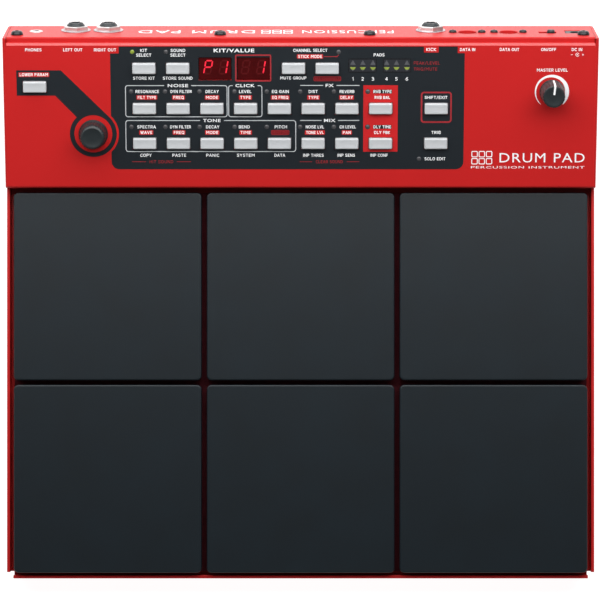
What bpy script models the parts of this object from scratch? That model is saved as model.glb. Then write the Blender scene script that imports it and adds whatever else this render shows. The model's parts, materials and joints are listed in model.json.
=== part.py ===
"""Electronic drum pad: six rubber playing pads in a folded steel tray, with a tilted control panel.

Metres, +Z up, +X to the player's right, +Y away from the player. The origin is on the table under
the middle of the instrument. Two empties carry the tilted pieces: panel_frame lies on the control
panel (x across, y up the slope, z out of it), and rear_frame on the leaning rear panel (x across,
y down the panel, z out of it).
"""
import math

import bmesh
import bpy
from mathutils import Matrix, Vector

# Case ------------------------------------------------------------------------------------------
WIDTH = 0.375                    # across the steel case
SHEET = 0.002                    # case sheet thickness
GAP = 0.0003                     # clearance between pieces that touch
FOOT_HEIGHT = 0.008
FLOOR_THICKNESS = 0.0015
TRAY_RIM_Z = 0.018               # top edge of the tray's flanges
CORNER_NOTCH = 0.004             # open square notch at each front corner of the tray
BEND_RADIUS = 0.0015

# Control panel and rear panel, in panel_frame terms ----------------------------------------------
PANEL_TILT = math.radians(14.5)
PANEL_FRONT_Y = 0.0713
PANEL_FRONT_Z = 0.029
PANEL_DEPTH = 0.093              # up the slope, from the front edge to the rear bend
REAR_FACE = 0.096                # outer face of the rear panel, up the slope
LEDGE_DROP = 0.0042              # ledge on top of the rear panel, below the control panel
LEDGE_FRONT = 0.0845             # front edge of the ledge, hidden under the cover
REAR_FOOT_DEPTH = 0.016          # flange on which the rear panel stands in the tray
REAR_INSET = 0.0021              # the cover's rear flange and the rear panel stop short by this
FRONT_FLANGE_LIFT = 0.0013       # front flange of the cover, above the tray's floor
HIDDEN_REACH = 0.06              # how far cutters run past what they cut

# Feet --------------------------------------------------------------------------------------------
FOOT_RADIUS = 0.010
FOOT_SOLE_RADIUS = 0.0088
FOOT_EDGE = 0.0006
FOOT_RECESS_RADIUS = 0.0042
FOOT_RECESS_DEPTH = 0.0034
FOOT_SCREW_HOLE = 0.0021
FOOT_ROWS_Y = (-0.150, 0.135)
FOOT_COLUMNS_X = (-0.160, 0.160)

# Playing pads ------------------------------------------------------------------------------------
PAD_SIZE = 0.1196
PAD_PITCH_X = 0.1229
PAD_PITCH_Y = 0.1225
PAD_REAR_ROW_Y = 0.0086
PAD_CORNER = 0.003
PAD_TOP_Z = 0.023
PAD_RUBBER_THICKNESS = 0.0063
PAD_EDGE_ROUND = 0.0009
PLATE_INSET = 0.0006
PLATE_THICKNESS = 0.0016
SENSOR_RADIUS = 0.0135
SENSOR_THICKNESS = 0.0009
SENSOR_WELL_ROOM = 0.0015        # round the sensor, in the foam
PAD_TRAVEL_ROOM = 0.0012         # free height under the plate
FOAM_HALF_WIDTH = 0.183

# Buttons -----------------------------------------------------------------------------------------
BUTTON_WIDTH = 0.0146
BUTTON_DEPTH = 0.0069
BUTTON_PROUD = 0.0026
BUTTON_CORNER = 0.0006
BUTTON_EDGE = 0.0005
BUTTON_LIP = 0.0011              # width of the retaining lip under the panel
BUTTON_LIP_THICKNESS = 0.001
BUTTON_STEM = 0.003
BUTTON_COLUMN_PITCH = 0.0213
BUTTON_FIRST_COLUMN = -0.0986
BUTTON_LAST_COLUMN = 0.0855
BUTTON_ROWS = {1: 0.0770, 2: 0.0513, 3: 0.0289}
MUTE_GROUP_U = -0.0045
CHANNEL_SELECT_U = 0.0167
LOWER_PARAM_PLACE = (-0.1675, 0.0652)
SWITCH_BLOCK = 0.006
SWITCH_HEIGHT = 0.004
SWITCH_CLEARANCE = 0.001         # between a button's stem and the switch under it

# Boards and controls -----------------------------------------------------------------------------
BOARD_THICKNESS = 0.0016
BOARD_TOP = -0.009               # below the panel's surface
BOARD_LOW = (-0.177, 0.008)
BOARD_HIGH = (0.172, 0.086)
STANDOFF_RADIUS = 0.0025
STANDOFF_COLUMNS = (-0.150, 0.0685, 0.125)
STANDOFF_ROWS = (0.0145, 0.0745)
DISPLAY_CENTRES = {"display_left": -0.05385, "display_right": -0.02965}
DISPLAY_V = 0.07665
WINDOW_SIZE = (0.0209, 0.0145)
ENCODER_CENTRE = (-0.1311, 0.0349)
LEVEL_CENTRE = (0.1584, 0.062)
SHAFT_RADIUS = 0.003
BUSHING_RADIUS = 0.0045
SHAFT_REACH = 0.006              # below the panel's surface
ENCODER_PROFILE = ((0.00925, 0.0006), (0.00925, 0.0020), (0.0084, 0.0032), (0.0080, 0.0110),
                   (0.0062, 0.0130))
LEVEL_PROFILE = ((0.0079, 0.0008), (0.0079, 0.0022), (0.0075, 0.0032), (0.0071, 0.0172),
                 (0.0067, 0.0180))
POINTER_SIZE = (0.0012, 0.0052)
POINTER_CENTRE = (0.0, 0.0040)
POINTER_TURN = math.radians(-5.5)  # where the knob is left standing in the photograph
ENCODER_BODY = (0.0124, 0.0134)
LEVEL_BODY = (0.0110, 0.0120)
IO_BOARD_Z = 0.013
IO_BOARD_SIZE = (0.300, 0.064)
IO_BOARD_Y = 0.116
IO_CHIPS = ((0.020, 0.020, 0.0020, (-0.020, 0.115)), (0.012, 0.010, 0.0015, (0.020, 0.118)),
            (0.010, 0.007, 0.0018, (-0.070, 0.122)), (0.010, 0.007, 0.0018, (0.060, 0.122)))
IO_CAPACITORS_X = (-0.120, -0.105, 0.095, 0.110)
IO_CAPACITOR_Y = 0.138
IO_CAPACITOR_HEIGHT = 0.006
IO_POST_RADIUS = 0.003

# Rear sockets ------------------------------------------------------------------------------------
JACK_M = 0.025                   # down the rear panel, from the ledge to the jacks' axes
JACK_NOSE_RADIUS = 0.00565
JACK_TIP_RADIUS = 0.0041
JACK_PROUD = 0.0054
JACK_SHOULDER = 0.0036           # where the nose starts to taper
JACK_BORE = 0.0033
JACK_BODY = (0.0165, 0.0165, 0.0180)
DIN_M = 0.0185
DIN_HOLE_RADIUS = 0.0072
DIN_WELL_RADIUS = 0.0061
DIN_BODY = (0.0195, 0.0185, 0.0150)
PHONES_CENTRE = (-0.168, 0.021)
PHONES_NOSE_RADIUS = 0.0034
PHONES_PROUD = 0.0005
PHONES_BORE = 0.0018
PHONES_BODY = (0.010, 0.0085, 0.0130)
SWITCH_CENTRE = (0.1566, 0.0175)
SWITCH_SLOT = (0.0109, 0.0056)
SWITCH_BODY = (0.0130, 0.0080)
SLIDER_CENTRE = (0.1587, 0.0175)
SLIDER_RADIUS = 0.0025
SLIDER_PROUD = 0.0018
DC_CENTRE = (0.1743, 0.020)
DC_CUTOUT = (0.0130, 0.0112)
DC_DEPTH = 0.013
DC_FACE = -0.0003                # the socket's face lies just inside the panel
DC_BORE = 0.0032
DC_PIN_RADIUS = 0.0010

COS = math.cos(PANEL_TILT)
SIN = math.sin(PANEL_TILT)
ROUND = 24                       # sides of a small round piece


def panel_point(v, n):
    """World (y, z) of a point v up the control panel's slope and n out of its surface."""
    return (PANEL_FRONT_Y + v * COS - n * SIN, PANEL_FRONT_Z + v * SIN + n * COS)


def on_slope(z, v):
    """World (y, z) of the point at height z on the plane square to the panel at v."""
    n = (z - PANEL_FRONT_Z - v * SIN) / COS
    return panel_point(v, n)


# The case reaches as far in front of the origin as the lowest rim of the jacks reaches behind it.
REAR_REACH = panel_point(REAR_FACE + JACK_PROUD, -LEDGE_DROP - JACK_M - JACK_TIP_RADIUS)[0]
TRAY_FRONT_Y = -REAR_REACH
FLOOR_Z = FOOT_HEIGHT + FLOOR_THICKNESS


# Scene helpers -----------------------------------------------------------------------------------
def clear_scene():
    for obj in list(bpy.data.objects):
        bpy.data.objects.remove(obj, do_unlink=True)


def add_material(name, colour, roughness, metallic=0.0):
    material = bpy.data.materials.new(name)
    material.use_nodes = True
    shader = material.node_tree.nodes["Principled BSDF"]
    shader.inputs["Base Color"].default_value = (*colour, 1.0)
    shader.inputs["Roughness"].default_value = roughness
    shader.inputs["Metallic"].default_value = metallic
    return material


def add_empty(name, location, tilt):
    empty = bpy.data.objects.new(name, None)
    bpy.context.scene.collection.objects.link(empty)
    empty.location = location
    empty.rotation_euler = (tilt, 0.0, 0.0)
    return empty


def add_object(name, mesh, material, parent=None, location=(0.0, 0.0, 0.0)):
    obj = bpy.data.objects.new(name, mesh)
    bpy.context.scene.collection.objects.link(obj)
    obj.parent = parent
    obj.location = location
    if material and not mesh.materials:
        mesh.materials.append(material)
    return obj


def apply_tool(obj, tool, operation):
    tool.hide_render = True
    tool.display_type = 'WIRE'
    modifier = obj.modifiers.new(tool.name, 'BOOLEAN')
    modifier.operation = operation
    modifier.solver = 'EXACT'
    modifier.object = tool


def combine(obj, mesh, operation):
    """Cut a mesh out of an object, or join one to it, in the object's own coordinates."""
    name = obj.name + "_" + operation.lower()
    apply_tool(obj, add_object(name, mesh, None, obj.parent, obj.location), operation)


def cut_in_frame(obj, frame, mesh):
    """Cut a mesh that is laid out in a tilted frame out of a case sheet."""
    apply_tool(obj, add_object(obj.name + "_cuts", mesh, None, frame), 'DIFFERENCE')


# Mesh helpers ------------------------------------------------------------------------------------
def finish_mesh(bm, name, smooth=False):
    bmesh.ops.recalc_face_normals(bm, faces=bm.faces)
    mesh = bpy.data.meshes.new(name)
    bm.to_mesh(mesh)
    bm.free()
    if smooth:
        mesh.shade_smooth()
        mesh.set_sharp_from_angle(angle=math.radians(35))
    return mesh


def circle(radius, centre=(0.0, 0.0), sides=ROUND):
    turns = [2 * math.pi * i / sides for i in range(sides)]
    return [(centre[0] + radius * math.cos(a), centre[1] + radius * math.sin(a)) for a in turns]


def rectangle(width, depth, centre=(0.0, 0.0)):
    x, y = width / 2, depth / 2
    return [(centre[0] + i * x, centre[1] + j * y) for i, j in ((-1, -1), (1, -1), (1, 1), (-1, 1))]


def rounded_rectangle(width, depth, radius, steps):
    """Rectangle outline whose corners are arcs of the given number of steps."""
    points = []
    for corner, (i, j) in enumerate(((1, 1), (-1, 1), (-1, -1), (1, -1))):
        for step in range(steps + 1):
            angle = (corner + step / steps) * math.pi / 2
            points.append((i * (width / 2 - radius) + radius * math.cos(angle),
                           j * (depth / 2 - radius) + radius * math.sin(angle)))
    return points


def add_loft(bm, layers):
    """Add a closed solid through level outlines, given bottom first as (outline, height)."""
    rings = [[bm.verts.new((x, y, z)) for x, y in outline] for outline, z in layers]
    for lower, upper in zip(rings, rings[1:]):
        for i, vertex in enumerate(lower):
            j = (i + 1) % len(lower)
            bm.faces.new((vertex, lower[j], upper[j], upper[i]))
    bm.faces.new(list(reversed(rings[0])))
    bm.faces.new(rings[-1])


def loft(name, *solids, smooth=False):
    """Mesh of one or more lofted solids."""
    bm = bmesh.new()
    for layers in solids:
        add_loft(bm, layers)
    return finish_mesh(bm, name, smooth)


def column(outline, low, high):
    """Layers of a straight-sided solid between two heights."""
    return [(outline, low), (outline, high)]


def prism(name, profile, low_x, high_x):
    """Solid of a side profile of (y, z) points, extruded across X."""
    bm = bmesh.new()
    face = bm.faces.new([bm.verts.new((low_x, y, z)) for y, z in profile])
    side = bmesh.ops.extrude_face_region(bm, geom=[face])
    moved = [item for item in side["geom"] if isinstance(item, bmesh.types.BMVert)]
    bmesh.ops.translate(bm, verts=moved, vec=(high_x - low_x, 0.0, 0.0))
    return finish_mesh(bm, name)


def round_edges(mesh, chosen, radius, steps):
    """Bevel the edges for which chosen(edge midpoint) is true."""
    bm = bmesh.new()
    bm.from_mesh(mesh)
    edges = []
    for edge in bm.edges:
        start, end = (vertex.co for vertex in edge.verts)
        if chosen((start + end) / 2):
            edges.append(edge)
    bmesh.ops.bevel(bm, geom=edges, offset=radius, segments=steps, profile=0.5, affect='EDGES')
    bmesh.ops.recalc_face_normals(bm, faces=bm.faces)
    bm.to_mesh(mesh)
    bm.free()


# Case --------------------------------------------------------------------------------------------
def make_base_tray(red):
    """Floor with low flanges at the front and sides; the rear stays open for the rear panel."""
    half = WIDTH / 2
    profile = [(TRAY_FRONT_Y, FOOT_HEIGHT), on_slope(FOOT_HEIGHT, REAR_FACE),
               on_slope(TRAY_RIM_Z, REAR_FACE), (TRAY_FRONT_Y, TRAY_RIM_Z)]
    mesh = prism("base_tray", profile, -half, half)
    rear_y = profile[1][0]
    bottom = FOOT_HEIGHT + GAP
    round_edges(mesh, lambda mid: mid.z < bottom and mid.y < rear_y - GAP, BEND_RADIUS, 2)
    tray = add_object("base_tray", mesh, red)
    inner = TRAY_FRONT_Y + SHEET
    cavity = [(inner, FLOOR_Z), (HIDDEN_REACH * 4, FLOOR_Z),
              (HIDDEN_REACH * 4, HIDDEN_REACH), (inner, HIDDEN_REACH)]
    combine(tray, prism("tray_cavity", cavity, SHEET - half, half - SHEET), 'DIFFERENCE')
    notch = 2 * CORNER_NOTCH
    corners = [column(rectangle(notch, notch, (side * half, TRAY_FRONT_Y)), 0.0, HIDDEN_REACH)
               for side in (-1, 1)]
    holes = [column(circle(FOOT_SCREW_HOLE, spot, 12), 0.0, FLOOR_Z + GAP)
             for spot in foot_places()]
    combine(tray, loft("tray_cuts", *corners, *holes), 'DIFFERENCE')


def foot_places():
    return [(x, y) for y in FOOT_ROWS_Y for x in FOOT_COLUMNS_X]


def make_feet(rubber):
    """Turned rubber feet, each with a screw recess in its sole."""
    top = FOOT_HEIGHT - GAP
    layers = [(circle(FOOT_SOLE_RADIUS), 0.0), (circle(FOOT_SOLE_RADIUS + FOOT_EDGE), FOOT_EDGE),
              (circle(FOOT_RADIUS), top - FOOT_EDGE), (circle(FOOT_RADIUS - FOOT_EDGE), top)]
    names = ("foot_front_left", "foot_front_right", "foot_rear_left", "foot_rear_right")
    for name, spot in zip(names, foot_places()):
        foot = add_object(name, loft(name, layers, smooth=True), rubber, None, (*spot, 0.0))
        wide = circle(FOOT_RECESS_RADIUS, sides=16)
        narrow = circle(FOOT_SCREW_HOLE, sides=16)
        recess = [(wide, -FOOT_EDGE), (wide, FOOT_RECESS_DEPTH), (narrow, FOOT_RECESS_DEPTH),
                  (narrow, FOOT_HEIGHT)]
        combine(foot, loft(name + "_recess", recess), 'DIFFERENCE')


def cover_hollow_profile():
    """Side profile of everything cut out between the cover's cheeks, round its rear flange."""
    inner_y = PANEL_FRONT_Y + SHEET
    under_front = panel_point((SHEET - SHEET * SIN) / COS, -SHEET)
    flange_inner = PANEL_DEPTH - SHEET
    flange_end = -(LEDGE_DROP - GAP)
    bend = [panel_point(PANEL_DEPTH - BEND_RADIUS + BEND_RADIUS * math.cos(a),
                        -BEND_RADIUS + BEND_RADIUS * math.sin(a))
            for a in (step * math.pi / 8 for step in range(5))]
    above = 2 * SHEET
    behind = REAR_FACE + 2 * SHEET
    return [(inner_y, 0.0), under_front, panel_point(flange_inner, -SHEET),
            panel_point(flange_inner, flange_end), panel_point(PANEL_DEPTH, flange_end), *bend,
            panel_point(PANEL_DEPTH - BEND_RADIUS, above), panel_point(behind, above),
            panel_point(behind, -HIDDEN_REACH)]


def make_top_cover(red):
    """Control panel, front flange, cheeks and short rear flange, folded from one sheet."""
    half = WIDTH / 2
    bottom = FLOOR_Z + FRONT_FLANGE_LIFT
    profile = [(PANEL_FRONT_Y, bottom), (PANEL_FRONT_Y, PANEL_FRONT_Z), panel_point(REAR_FACE, 0.0),
               on_slope(bottom, REAR_FACE)]
    mesh = prism("top_cover", profile, -half, half)
    rear_y = profile[2][0]

    def is_top_edge(mid):
        height = (mid.z - PANEL_FRONT_Z) * COS - (mid.y - PANEL_FRONT_Y) * SIN
        return abs(height) < GAP and mid.y < rear_y - GAP

    round_edges(mesh, is_top_edge, BEND_RADIUS, 3)
    cover = add_object("top_cover", mesh, red)
    hollow = prism("cover_hollow", cover_hollow_profile(), SHEET - half, half - SHEET)
    combine(cover, hollow, 'DIFFERENCE')
    skirts = [column(rectangle(2 * (SHEET + GAP), 8 * HIDDEN_REACH, (side * half, 0.0)),
                     0.0, TRAY_RIM_Z + GAP) for side in (-1, 1)]
    combine(cover, loft("cover_skirts", *skirts), 'DIFFERENCE')
    return cover


def cut_cover(cover, panel):
    """Button holes, display windows, shaft holes and the reliefs beside the rear flange."""
    low, high = -2 * SHEET, 2 * SHEET
    button = (BUTTON_WIDTH + 2 * GAP, BUTTON_DEPTH + 2 * GAP)
    holes = [column(rectangle(*button, spot), low, high) for spot in button_places().values()]
    holes += [column(rectangle(*WINDOW_SIZE, (u, DISPLAY_V)), low, high)
              for u in DISPLAY_CENTRES.values()]
    holes += [column(circle(BUSHING_RADIUS + GAP, spot), low, high)
              for spot in (ENCODER_CENTRE, LEVEL_CENTRE)]
    relief = REAR_INSET - SHEET + GAP / 5
    for side in (-1, 1):
        centre = (side * (WIDTH / 2 - REAR_INSET + relief / 2), PANEL_DEPTH)
        holes.append(column(rectangle(relief, 2.5 * SHEET, centre), -3 * LEDGE_DROP, high))
    cut_in_frame(cover, panel, loft("cover_holes", *holes))


def make_rear_panel(red, rear):
    """Leaning connector panel with a ledge under the cover and a foot flange in the tray."""
    low = FLOOR_Z + GAP
    inner = REAR_FACE - SHEET
    foot_y = on_slope(low, REAR_FACE)[0] - REAR_FOOT_DEPTH
    profile = [panel_point(REAR_FACE, -LEDGE_DROP), on_slope(low, REAR_FACE), (foot_y, low),
               (foot_y, low + SHEET), on_slope(low + SHEET, inner),
               panel_point(inner, -LEDGE_DROP - SHEET),
               panel_point(LEDGE_FRONT, -LEDGE_DROP - SHEET), panel_point(LEDGE_FRONT, -LEDGE_DROP)]
    half = WIDTH / 2 - REAR_INSET
    mesh = prism("rear_panel", profile, -half, half)
    edge_y, edge_z = profile[0]

    def is_ledge_edge(mid):
        return abs(mid.y - edge_y) < GAP and abs(mid.z - edge_z) < GAP

    round_edges(mesh, is_ledge_edge, BEND_RADIUS / 2, 2)
    wall = add_object("rear_panel", mesh, red)
    low, high = -2 * SHEET, 2 * SHEET
    holes = [column(circle(JACK_NOSE_RADIUS + GAP, (x, JACK_M)), low, high)
             for x in jack_places().values()]
    holes += [column(circle(DIN_HOLE_RADIUS, (x, DIN_M)), low, high) for x in din_places().values()]
    holes.append(column(circle(PHONES_NOSE_RADIUS + GAP, PHONES_CENTRE), low, high))
    holes.append(column(rectangle(*SWITCH_SLOT, SWITCH_CENTRE), low, high))
    holes.append(column(rectangle(*DC_CUTOUT, DC_CENTRE), low, high))
    cut_in_frame(wall, rear, loft("rear_holes", *holes))


# Playing pads ------------------------------------------------------------------------------------
def pad_places():
    rows = (PAD_REAR_ROW_Y, PAD_REAR_ROW_Y - PAD_PITCH_Y)
    return [(column_index * PAD_PITCH_X, y) for y in rows for column_index in (-1, 0, 1)]


def make_pads(rubber, steel, foam):
    """Six rubber pads on steel plates with a piezo disc, over one foam mat."""
    bottom = PAD_TOP_Z - PAD_RUBBER_THICKNESS
    plate_top = bottom - GAP
    plate_low = plate_top - PLATE_THICKNESS
    foam_top = plate_low - PAD_TRAVEL_ROOM
    plate_size = PAD_SIZE - 2 * PLATE_INSET

    def pad_outline(inset):
        size = PAD_SIZE - 2 * inset
        return rounded_rectangle(size, size, PAD_CORNER - inset, 4)

    middle = 0.3 * PAD_EDGE_ROUND
    rubber_mesh = loft("pad_rubber", [
        (pad_outline(middle), bottom), (pad_outline(0.0), bottom + middle),
        (pad_outline(0.0), PAD_TOP_Z - PAD_EDGE_ROUND),
        (pad_outline(middle), PAD_TOP_Z - middle), (pad_outline(PAD_EDGE_ROUND), PAD_TOP_Z)])
    plate_outline = rounded_rectangle(plate_size, plate_size, PAD_CORNER, 1)
    for number, (x, y) in enumerate(pad_places(), 1):
        add_object(f"pad_rubber_{number}", rubber_mesh, rubber, None, (x, y, 0.0))
        plate_mesh = loft(f"pad_plate_{number}", column(plate_outline, plate_low, plate_top))
        plate = add_object(f"pad_plate_{number}", plate_mesh, steel, None, (x, y, 0.0))
        disc = column(circle(SENSOR_RADIUS), plate_low - SENSOR_THICKNESS, plate_low + GAP)
        combine(plate, loft(f"pad_sensor_{number}", disc), 'UNION')
    front = TRAY_FRONT_Y + CORNER_NOTCH + GAP
    back = PAD_REAR_ROW_Y + PAD_SIZE / 2
    mat = rectangle(2 * FOAM_HALF_WIDTH, back - front, (0.0, (back + front) / 2))
    foam_low = FLOOR_Z + GAP
    mat_obj = add_object("pad_foam", loft("pad_foam", column(mat, foam_low, foam_top)), foam)
    wells = [column(circle(SENSOR_RADIUS + SENSOR_WELL_ROOM, spot), 0.0, HIDDEN_REACH)
             for spot in pad_places()]
    combine(mat_obj, loft("sensor_wells", *wells), 'DIFFERENCE')


# Buttons -----------------------------------------------------------------------------------------
def button_places():
    """Name and (u, v) place of every button on the control panel."""
    names_row_2 = ("noise_resonance", "noise_filter", "noise_decay", "click_level", "eq_gain",
                   "distortion", "reverb", "reverb_type", "shift")
    names_row_3 = ("tone_spectra", "tone_filter", "tone_decay", "bend", "pitch", "noise_level",
                   "channel_level", "delay_time", "trigger")
    columns = [BUTTON_FIRST_COLUMN + k * BUTTON_COLUMN_PITCH for k in range(8)]
    columns.append(BUTTON_LAST_COLUMN)
    places = {"kit_select": (columns[0], BUTTON_ROWS[1]), "sound_select": (columns[1], BUTTON_ROWS[1]),
              "mute_group": (MUTE_GROUP_U, BUTTON_ROWS[1]),
              "channel_select": (CHANNEL_SELECT_U, BUTTON_ROWS[1]),
              "lower_param": LOWER_PARAM_PLACE}
    places.update((name, (u, BUTTON_ROWS[2])) for name, u in zip(names_row_2, columns))
    places.update((name, (u, BUTTON_ROWS[3])) for name, u in zip(names_row_3, columns))
    return places


def make_buttons(plastic, panel):
    """Caps that stand proud of the panel, held under it by a lip, with a stem to the switch."""
    def outline(grow):
        return rounded_rectangle(BUTTON_WIDTH + 2 * grow, BUTTON_DEPTH + 2 * grow, BUTTON_CORNER, 1)

    stem_outline = rounded_rectangle(BUTTON_STEM, BUTTON_STEM, BUTTON_CORNER, 1)
    lip_top = -SHEET - GAP
    lip_low = lip_top - BUTTON_LIP_THICKNESS
    stem_low = BOARD_TOP + SWITCH_HEIGHT + SWITCH_CLEARANCE
    mesh = loft("button", [
        (stem_outline, stem_low), (stem_outline, lip_low), (outline(BUTTON_LIP), lip_low),
        (outline(BUTTON_LIP), lip_top), (outline(0.0), lip_top),
        (outline(0.0), BUTTON_PROUD - BUTTON_EDGE), (outline(-BUTTON_EDGE), BUTTON_PROUD)])
    for name, (u, v) in button_places().items():
        add_object("button_" + name, mesh, plastic, panel, (u, v, 0.0))


# Boards and controls -----------------------------------------------------------------------------
def make_control_board(green, panel):
    """Circuit board under the panel, with a switch under every button and six standoffs."""
    size = (BOARD_HIGH[0] - BOARD_LOW[0], BOARD_HIGH[1] - BOARD_LOW[1])
    centre = ((BOARD_HIGH[0] + BOARD_LOW[0]) / 2, (BOARD_HIGH[1] + BOARD_LOW[1]) / 2)
    plate = column(rectangle(*size, centre), BOARD_TOP - BOARD_THICKNESS, BOARD_TOP)
    board = add_object("control_board", loft("control_board", plate), green, panel)
    root = BOARD_TOP - GAP
    blocks = [column(rectangle(SWITCH_BLOCK, SWITCH_BLOCK, spot), root, BOARD_TOP + SWITCH_HEIGHT)
              for spot in button_places().values()]
    posts = [column(circle(STANDOFF_RADIUS, (u, v), 12), root, -SHEET - GAP)
             for u in STANDOFF_COLUMNS for v in STANDOFF_ROWS]
    combine(board, loft("control_board_parts", *blocks, *posts), 'UNION')


def make_displays(red_lens, panel):
    size = (WINDOW_SIZE[0] - 2 * GAP, WINDOW_SIZE[1] - 2 * GAP)
    for name, u in DISPLAY_CENTRES.items():
        block = column(rectangle(*size), BOARD_TOP + GAP, -GAP)
        add_object(name, loft(name, block), red_lens, panel, (u, DISPLAY_V, 0.0))


def make_shaft_seat(name, size, spot, plastic, panel):
    """Body of a rotary control: a block on the board with a bushing that takes the knob's shaft."""
    block = column(rectangle(*size), BOARD_TOP + GAP, -SHEET - GAP)
    body = add_object(name, loft(name, block), plastic, panel, (*spot, 0.0))
    bushing = column(circle(BUSHING_RADIUS), -SHEET - 2 * GAP, GAP)
    combine(body, loft(name + "_bushing", bushing), 'UNION')
    bore = column(circle(SHAFT_RADIUS + GAP), -SHAFT_REACH - GAP, 2 * GAP)
    combine(body, loft(name + "_bore", bore), 'DIFFERENCE')


def make_knob(name, profile, spot, plastic, panel):
    """Turned knob of (radius, height) points, in one piece with its shaft."""
    sides = 32
    layers = [(circle(SHAFT_RADIUS, sides=sides), -SHAFT_REACH),
              (circle(SHAFT_RADIUS, sides=sides), profile[0][1])]
    layers += [(circle(radius, sides=sides), height) for radius, height in profile]
    return add_object(name, loft(name, layers, smooth=True), plastic, panel, (*spot, 0.0))


def make_controls(plastic, panel):
    make_knob("encoder_knob", ENCODER_PROFILE, ENCODER_CENTRE, plastic, panel)
    make_shaft_seat("encoder_body", ENCODER_BODY, ENCODER_CENTRE, plastic, panel)
    knob = make_knob("level_knob", LEVEL_PROFILE, LEVEL_CENTRE, plastic, panel)
    top = LEVEL_PROFILE[-1][1]
    turn = Matrix.Rotation(POINTER_TURN, 2)
    line = [turn @ Vector(point) for point in rectangle(*POINTER_SIZE, POINTER_CENTRE)]
    ridge = column([tuple(point) for point in line], top - GAP, top + GAP)
    combine(knob, loft("level_knob_pointer", ridge), 'UNION')
    make_shaft_seat("level_pot", LEVEL_BODY, LEVEL_CENTRE, plastic, panel)


def make_io_board(green):
    """Level board between the control board and the sockets, on four posts, with its parts."""
    low, high = IO_BOARD_Z, IO_BOARD_Z + BOARD_THICKNESS
    plate = column(rectangle(*IO_BOARD_SIZE, (0.0, IO_BOARD_Y)), low, high)
    board = add_object("io_board", loft("io_board", plate), green)
    chips = [column(rectangle(width, depth, spot), high - GAP, high + height)
             for width, depth, height, spot in IO_CHIPS]
    cans = [column(circle(IO_POST_RADIUS, (x, IO_CAPACITOR_Y), 12), high - GAP,
                   high + IO_CAPACITOR_HEIGHT) for x in IO_CAPACITORS_X]
    reach_x = IO_BOARD_SIZE[0] / 2 - 3 * IO_POST_RADIUS
    reach_y = IO_BOARD_SIZE[1] / 2 - 2 * IO_POST_RADIUS
    posts = [column(circle(IO_POST_RADIUS, (i * reach_x, IO_BOARD_Y + j * reach_y), 12),
                    FLOOR_Z + GAP, low + GAP) for i in (-1, 1) for j in (-1, 1)]
    combine(board, loft("io_board_parts", *chips, *cans, *posts), 'UNION')


# Rear sockets ------------------------------------------------------------------------------------
def jack_places():
    return {"left_out_jack": -0.143, "right_out_jack": -0.1223, "kick_jack": 0.0827}


def din_places():
    return {"din_in_socket": 0.1057, "din_out_socket": 0.1319}


def make_socket(name, spot, body, nose, bore, material, rear):
    """Socket behind the rear panel: body (width, height, depth), turned nose and bore layers."""
    width, height, depth = body
    back = -SHEET - GAP
    block = column(rectangle(width, height), back - depth, back)
    socket = add_object(name, loft(name, block), material, rear, (*spot, 0.0))
    combine(socket, loft(name + "_nose", [(circle(r), z) for r, z in nose]), 'UNION')
    combine(socket, loft(name + "_bore", [(circle(r), z) for r, z in bore]), 'DIFFERENCE')


def make_jacks(plastic, rear):
    root = -SHEET - 2 * GAP
    nose = [(JACK_NOSE_RADIUS, root), (JACK_NOSE_RADIUS, JACK_SHOULDER),
            (JACK_TIP_RADIUS, JACK_PROUD)]
    bore = [(JACK_BORE, -JACK_BODY[2]), (JACK_BORE, 2 * JACK_PROUD)]
    for name, x in jack_places().items():
        make_socket(name, (x, JACK_M), JACK_BODY, nose, bore, plastic, rear)


def make_phones_jack(plastic, rear):
    root = -SHEET - 2 * GAP
    nose = [(PHONES_NOSE_RADIUS, root), (PHONES_NOSE_RADIUS, PHONES_PROUD - GAP),
            (PHONES_NOSE_RADIUS - GAP, PHONES_PROUD)]
    bore = [(PHONES_BORE, -PHONES_BODY[2]), (PHONES_BORE, 2 * PHONES_PROUD)]
    make_socket("phones_jack", PHONES_CENTRE, PHONES_BODY, nose, bore, plastic, rear)


def make_din_sockets(plastic, rear):
    """Round five-pin sockets: a collar in the panel's hole round an open well."""
    root = -SHEET - 2 * GAP
    nose = [(DIN_HOLE_RADIUS - GAP, root), (DIN_HOLE_RADIUS - GAP, 0.0)]
    bore = [(DIN_WELL_RADIUS, -DIN_BODY[2] * 2 / 3), (DIN_WELL_RADIUS, GAP)]
    for name, x in din_places().items():
        make_socket(name, (x, DIN_M), DIN_BODY, nose, bore, plastic, rear)


def make_dc_socket(plastic, rear):
    """Barrel socket in a square cut-out, with its contact pin."""
    size = (DC_CUTOUT[0] - 2 * GAP, DC_CUTOUT[1] - 2 * GAP)
    face = column(rectangle(*size), -DC_DEPTH - SHEET, DC_FACE)
    socket = add_object("dc_socket", loft("dc_socket", face), plastic, rear, (*DC_CENTRE, 0.0))
    bore = column(circle(DC_BORE), -DC_DEPTH + SHEET, GAP)
    combine(socket, loft("dc_bore", bore), 'DIFFERENCE')
    pin = column(circle(DC_PIN_RADIUS, sides=12), -DC_DEPTH + SHEET - GAP, 3 * DC_FACE)
    combine(socket, loft("dc_pin", pin), 'UNION')


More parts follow.
